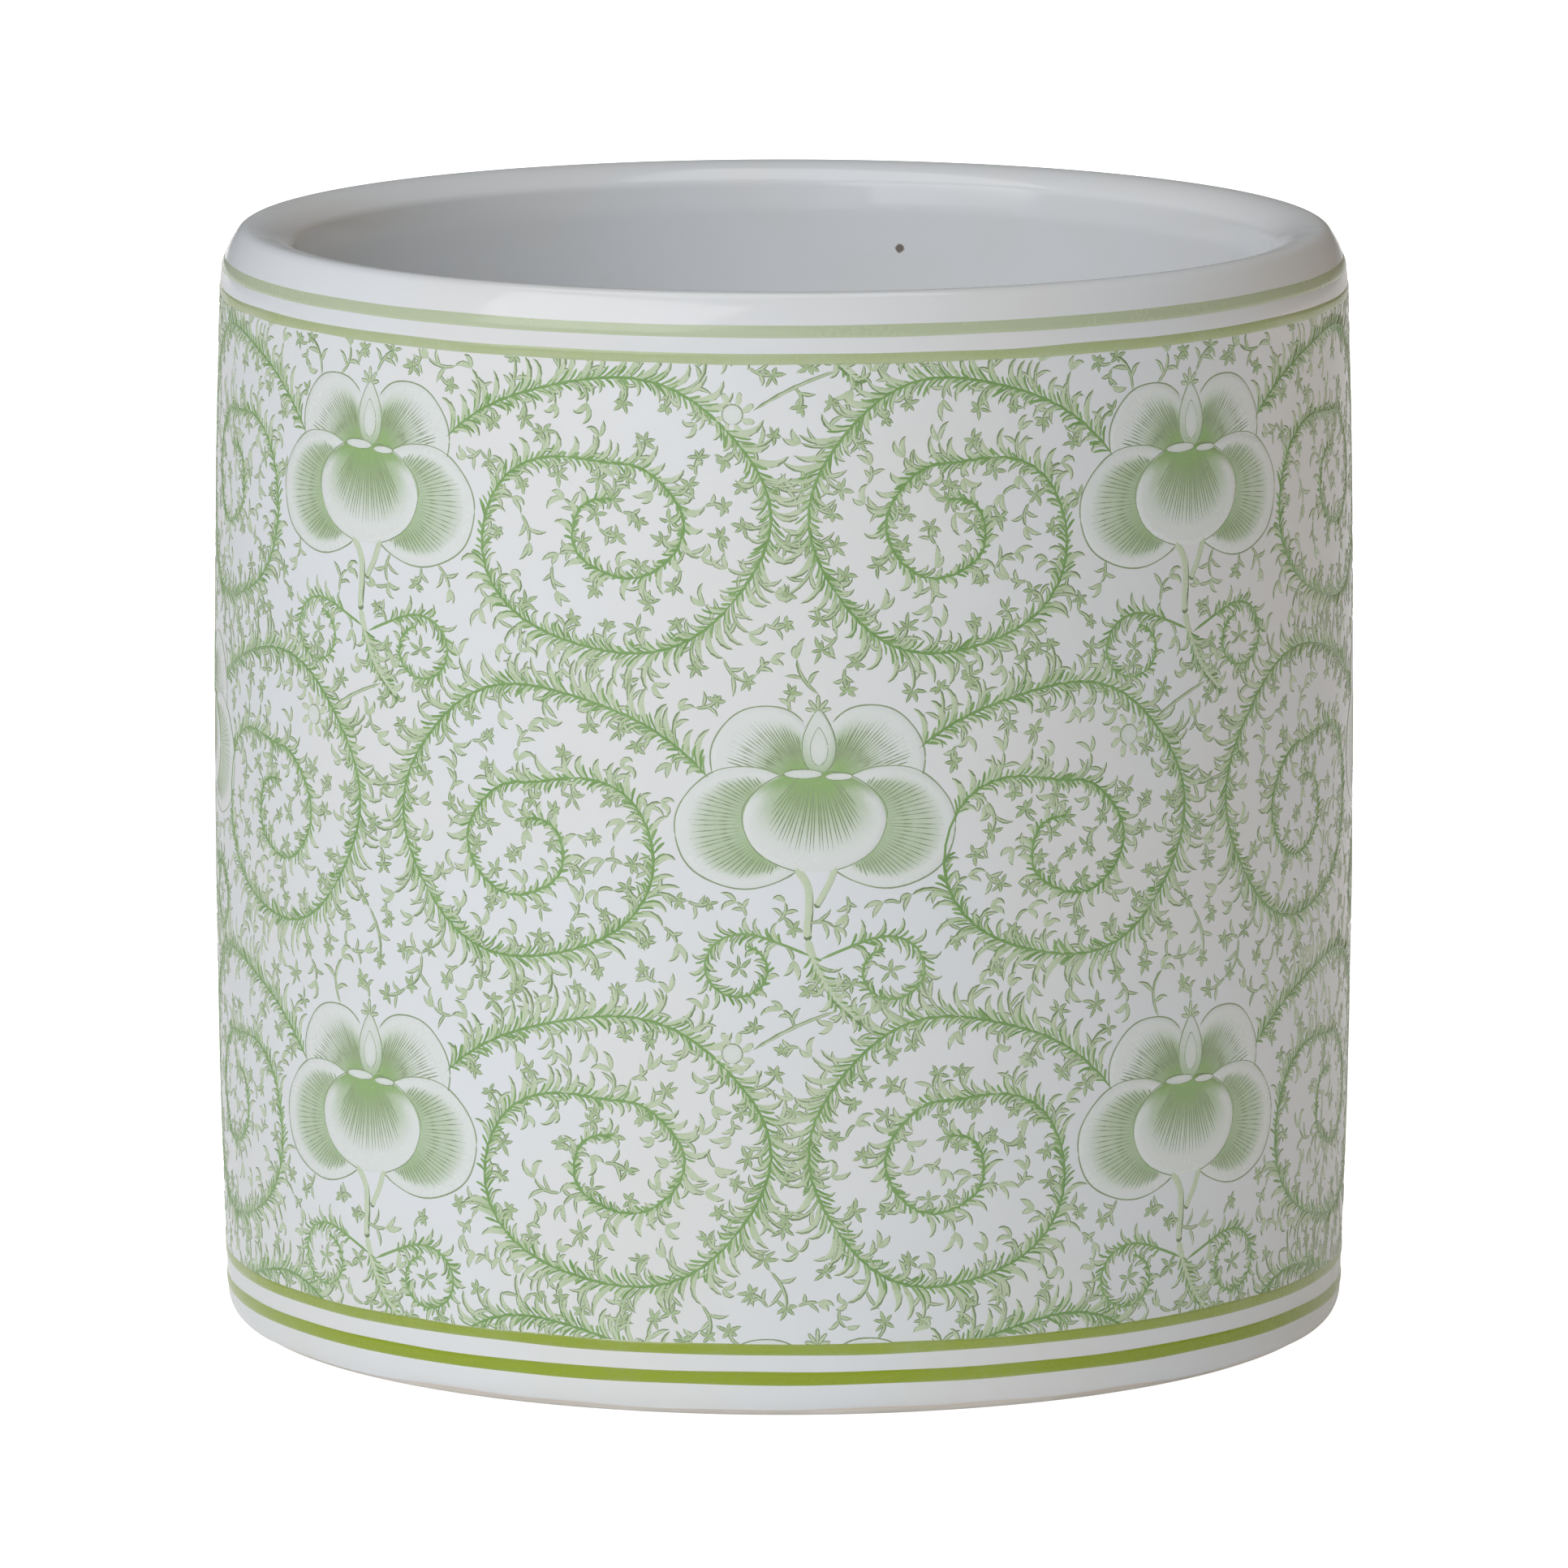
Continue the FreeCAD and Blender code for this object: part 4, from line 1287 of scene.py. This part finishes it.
def upper_wash(petal, places):
    """Green at the root beside the bud, fading outwards."""
    reach = np.hypot(places[:, 0] - 0.5, places[:, 1] - 6.4)
    rim = np.clip((0.96 - petal.share(places)) / 0.25, 0.0, 1.0)
    return np.clip(1.3 - reach / 9.5, 0.0, 1.0) * rim


def bud_wash(petal, places):
    """Green towards the foot of the bud, with a pale middle."""
    return np.clip(0.1 + 0.35 * petal.share(places) - 0.05 * (places[:, 1] - petal.centre[1]), 0.0, 1.0)


def rim_wash(petal, places):
    """Pale, a touch greener at the rim."""
    return 0.12 + 0.18 * petal.share(places) ** 2


def through(points):
    """A smooth path through a few points: a function of a place from 0 to the number of the last point."""
    knots = np.array(points)
    knots = np.vstack([2.0 * knots[0] - knots[1], knots, 2.0 * knots[-1] - knots[-2]])

    def at(t):
        step = min(max(int(t), 0), len(points) - 2)
        u = t - step
        a, b, c, d = knots[step:step + 4]
        return 0.5 * (2.0 * b + (c - a) * u + (2.0 * a - 5.0 * b + 4.0 * c - d) * u * u
                      + (3.0 * b - a - 3.0 * c + d) * u ** 3)

    return at


def curl_path(origin, centre, way):
    """The path of a curl beside the stem: it leaves the stem, rises and closes round its own middle."""

    def at(t):
        reach = 5.6 - 1.7 * t + 4.4 * math.exp(-t / 0.055)
        angle = FULL_TURN * t + math.radians(12.0)
        across = centre[0] - way * reach * math.cos(angle)
        up = centre[1] + 0.92 * reach * math.sin(angle)
        return np.array((across, up)) * MM + origin

    return at


def petal_blank():
    """A round petal with rings of faces, its rim drawn down and closed underneath."""
    deselect_all()
    bpy.ops.mesh.primitive_circle_add(vertices=40, radius=1.0, fill_type="NGON")
    piece = bpy.context.object
    bpy.ops.object.mode_set(mode="EDIT")
    bpy.ops.mesh.select_all(action="SELECT")
    for thickness in (0.02, 0.1, 0.14, 0.16, 0.18, 0.18):
        bpy.ops.mesh.inset(thickness=thickness, depth=0.0)
    bpy.ops.mesh.poke()
    bpy.ops.object.mode_set(mode="OBJECT")
    points = np.array([v.co for v in piece.data.vertices])
    faces = [tuple(p.vertices) for p in piece.data.polygons]
    rim = [i for i, p in enumerate(points) if math.hypot(p[0], p[1]) > 0.999]
    rim.sort(key=lambda i: math.atan2(points[i][1], points[i][0]))
    faces.append(tuple(reversed(rim)))
    points[:, 2] = 1.0
    points[rim, 2] = 0.0
    bpy.data.objects.remove(piece)
    return points, faces


def flat_piece(name, drawing):
    """One mesh of everything in a drawing, still flat, trimmed at the band's two edges."""
    mesh = bpy.data.meshes.new(name)
    mesh.from_pydata(np.vstack(drawing.points), [], drawing.faces)
    piece = bpy.data.objects.new(name, mesh)
    bpy.context.scene.collection.objects.link(piece)
    store_attribute(piece, "thickness", np.concatenate(drawing.tones))
    only(piece)
    bpy.ops.object.mode_set(mode="EDIT")
    for height, way in ((BAND_LOW, -1.0), (BAND_HIGH, 1.0)):
        bpy.ops.mesh.select_all(action="SELECT")
        bpy.ops.mesh.bisect(plane_co=(0.0, height, 0.0), plane_no=(0.0, way, 0.0), clear_outer=True,
                            use_fill=False)
    bpy.ops.mesh.select_all(action="SELECT")
    bpy.ops.mesh.fill_holes(sides=0)
    bpy.ops.object.mode_set(mode="OBJECT")
    return piece


def wrap(piece, form):
    """Rolls a flat piece round the outside of the pot."""
    spots = np.empty(len(piece.data.vertices) * 3)
    piece.data.vertices.foreach_get("co", spots)
    spots = spots.reshape(-1, 3)
    angle = spots[:, 0] / form.belly_radius
    height = spots[:, 1].copy()
    reach = surface_radius(form, height) + spots[:, 2]
    spots[:, 0] = reach * np.sin(angle)
    spots[:, 1] = -reach * np.cos(angle)
    spots[:, 2] = height
    piece.data.vertices.foreach_set("co", spots.ravel())
    piece.data.update()


class POT_OT_scrolls(bpy.types.Operator):
    """Draw one repeat of the scrolls, roll it round the pot and set its copies beside it"""

    bl_idname = "brush_pot.scrolls"
    bl_label = "Enamel Scrolls"

    def execute(self, context):
        form = context.scene.brush_pot_form
        enamel = context.scene.brush_pot_enamel
        colours = context.scene.brush_pot_colours
        scrolls = Scrolls(form, enamel)
        scrolls.draw_repeat()
        finishes = {
            "outlines": ("leaf_outlines", "Outline Enamel", colours.outline_soft, colours.outline_dark, 0.5),
            "fillings": ("leaf_fillings", "Leaf Enamel", colours.leaf_thin, colours.leaf_thick, 0.5),
            "stems": ("scroll_stems", "Stem Enamel", colours.stem_soft, colours.stem_dark, 0.5),
            "petals": ("flower_petals", "Petal Enamel", colours.petal_rim, colours.petal_root, 0.22),
            "petal_lines": ("petal_drawing", "Petal Line Enamel", colours.outline_soft, colours.outline_dark,
                            0.5),
        }
        for layer, (name, label, thin, thick, unevenness) in finishes.items():
            first = flat_piece(name, scrolls.layers[layer])
            wrap(first, form)
            smooth(first, 70.0)
            material = enamel_material(label, thin, thick, "thickness", unevenness)
            for quarter in range(QUARTERS):
                piece = first if quarter == QUARTERS - 1 else bpy.data.objects.new(name, first.data.copy())
                if piece is not first:
                    context.scene.collection.objects.link(piece)
                piece.data.transform(Matrix.Rotation(FULL_TURN * (quarter + 1) / QUARTERS, 4, "Z"))
                piece.name = f"{name}_{quarter + 1}"
                finish_piece(piece, material, "scroll_enamel", "scroll_band")
        return {"FINISHED"}


# ---------------------------------------------------------------------- stage

WHITE = (1.0, 1.0, 1.0, 1.0)
# the soft lights: name, the setting that holds its power, place, size, tint, and whether the glaze mirrors it
LIGHTS = (("key_light", "key", (-1.5, -1.6, 1.7), 2.2, (1.0, 1.0, 1.0), True),
          ("front_light", "fill", (-0.4, -2.5, 1.1), 1.3, (0.98, 0.99, 1.0), False),
          ("warm_light", "warm", (1.7, 1.0, 0.12), 0.9, (1.0, 0.62, 0.36), False),
          ("back_light", "back", (-0.3, 2.5, 0.45), 1.4, (1.0, 1.0, 1.0), False),
          ("top_light", "top", (-0.2, 0.4, 2.4), 1.6, (1.0, 1.0, 1.0), True))
# the surrounding light: cool at the left, and at the right warm near the ground and dim overhead
LEFT_SKY = (1.0, 1.02, 1.06, 1.0)
RIGHT_LOW_SKY = (0.95, 0.72, 0.42, 1.0)
RIGHT_HIGH_SKY = (0.26, 0.23, 0.1, 1.0)
# what the floor gives off besides what the camera alone sees
FLOOR_SHINE = 0.12


class POT_OT_stage(bpy.types.Operator):
    """Set out the floor, the soft lights and the camera"""

    bl_idname = "brush_pot.stage"
    bl_label = "Stage"

    def execute(self, context):
        stage = context.scene.brush_pot_stage
        context.scene.view_settings.view_transform = "Standard"
        make_floor(stage)
        make_surroundings(context.scene, stage)
        for name, setting, place, size, tint, mirrored in LIGHTS:
            lamp = soft_light(name, place, size, getattr(stage, setting), tint)
            lamp.visible_glossy = mirrored
        make_camera(context.scene, stage)
        return {"FINISHED"}


def make_floor(stage):
    """A plain white floor."""
    deselect_all()
    bpy.ops.mesh.primitive_grid_add(x_subdivisions=8, y_subdivisions=8, size=stage.floor_size)
    floor = bpy.context.object
    floor.name = "floor"
    material, tree, shader = new_material("White Floor")
    place = object_place(tree)
    soft = spread(tree, noise(tree, place, 3.0, 2.0), 0.3, 0.7)
    paler = mix(tree, soft, (0.93, 0.93, 0.93, 1.0), (0.95, 0.95, 0.95, 1.0))
    tree.links.new(paler, shader.inputs["Base Color"])
    shader.inputs["Roughness"].default_value = 0.8
    shader.inputs["Specular IOR Level"].default_value = 0.1
    shader.inputs["Emission Color"].default_value = WHITE
    rays = tree.nodes.new("ShaderNodeLightPath")
    seen = calculate(tree, "MULTIPLY", rays.outputs["Is Camera Ray"], stage.floor_glow)
    tree.links.new(calculate(tree, "ADD", seen, FLOOR_SHINE), shader.inputs["Emission Strength"])
    floor.data.materials.append(material)


def make_surroundings(scene, stage):
    """Even light from all round, with a white ground behind the pot."""
    world = bpy.data.worlds.new("Studio")
    scene.world = world
    world.use_nodes = True
    tree = world.node_tree
    tree.nodes.clear()
    output = tree.nodes.new("ShaderNodeOutputWorld")
    room = tree.nodes.new("ShaderNodeBackground")
    room.inputs["Strength"].default_value = stage.sky
    direction = tree.nodes.new("ShaderNodeTexCoord")
    parts = tree.nodes.new("ShaderNodeSeparateXYZ")
    tree.links.new(direction.outputs["Generated"], parts.inputs["Vector"])
    right_side = spread(tree, parts.outputs["X"], -0.3, 0.8)
    overhead = spread(tree, parts.outputs["Z"], 0.02, 0.5)
    right = mix(tree, overhead, RIGHT_LOW_SKY, RIGHT_HIGH_SKY)
    tree.links.new(mix(tree, right_side, LEFT_SKY, right), room.inputs["Color"])
    white = tree.nodes.new("ShaderNodeBackground")
    white.inputs["Color"].default_value = WHITE
    rays = tree.nodes.new("ShaderNodeLightPath")
    chosen = tree.nodes.new("ShaderNodeMixShader")
    tree.links.new(rays.outputs["Is Camera Ray"], chosen.inputs["Fac"])
    tree.links.new(room.outputs["Background"], chosen.inputs[1])
    tree.links.new(white.outputs["Background"], chosen.inputs[2])
    tree.links.new(chosen.outputs["Shader"], output.inputs["Surface"])


def soft_light(name, place, size, power, tint):
    """A square soft light aimed at the middle of the pot."""
    deselect_all()
    bpy.ops.object.light_add(type="AREA", location=place)
    lamp = bpy.context.object
    lamp.name = name
    lamp.data.size = size
    lamp.data.energy = power
    lamp.data.color = tint
    aim = lamp.location.copy()
    aim.z -= 0.5 * POT_HEIGHT
    lamp.rotation_euler = aim.to_track_quat("Z", "Y").to_euler()
    return lamp


def make_camera(scene, stage):
    """A long lens in front of the pot, looking a little down into its mouth."""
    deselect_all()
    bpy.ops.object.camera_add(location=(0.0, -stage.camera_distance, stage.camera_height),
                              rotation=(0.5 * math.pi - stage.camera_tilt, 0.0, 0.0))
    camera = bpy.context.object
    camera.name = "camera"
    camera.data.lens = stage.focal_length
    camera.data.clip_start = 0.01
    scene.camera = camera


# ------------------------------------------------------------------ the panel


class POT_PT_panel(bpy.types.Panel):
    """Tools and settings of the brush pot, in the 3D view's sidebar"""

    bl_idname = "POT_PT_panel"
    bl_label = "Brush Holder Pot"
    bl_space_type = "VIEW_3D"
    bl_region_type = "UI"
    bl_category = "Brush Pot"

    def draw(self, context):
        for operator in OPERATORS:
            self.layout.operator(operator.bl_idname)
        for title, holder in PANELS:
            box = self.layout.box()
            box.label(text=title)
            group = getattr(context.scene, holder)
            for name in group.__annotations__:
                box.prop(group, name)


GROUPS = (POT_PG_form, POT_PG_enamel, POT_PG_colours, POT_PG_stage)
OPERATORS = (POT_OT_stage, POT_OT_body, POT_OT_glaze, POT_OT_base_glaze, POT_OT_ring_lines, POT_OT_scrolls)


def register():
    """Adds the classes and hangs the settings on the scene."""
    for cls in (*GROUPS, *OPERATORS, POT_PT_panel):
        bpy.utils.register_class(cls)
    for (_, holder), group in zip(PANELS, GROUPS):
        setattr(bpy.types.Scene, holder, PointerProperty(type=group))


def unregister():
    """Removes the settings and the classes."""
    for _, holder in PANELS:
        delattr(bpy.types.Scene, holder)
    for cls in reversed((*GROUPS, *OPERATORS, POT_PT_panel)):
        bpy.utils.unregister_class(cls)


def main():
    """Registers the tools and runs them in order."""
    register()
    for run in (bpy.ops.brush_pot.stage, bpy.ops.brush_pot.body, bpy.ops.brush_pot.glaze,
                bpy.ops.brush_pot.base_glaze, bpy.ops.brush_pot.ring_lines, bpy.ops.brush_pot.scrolls):
        run()
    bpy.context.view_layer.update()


if __name__ == "__main__":
    main()
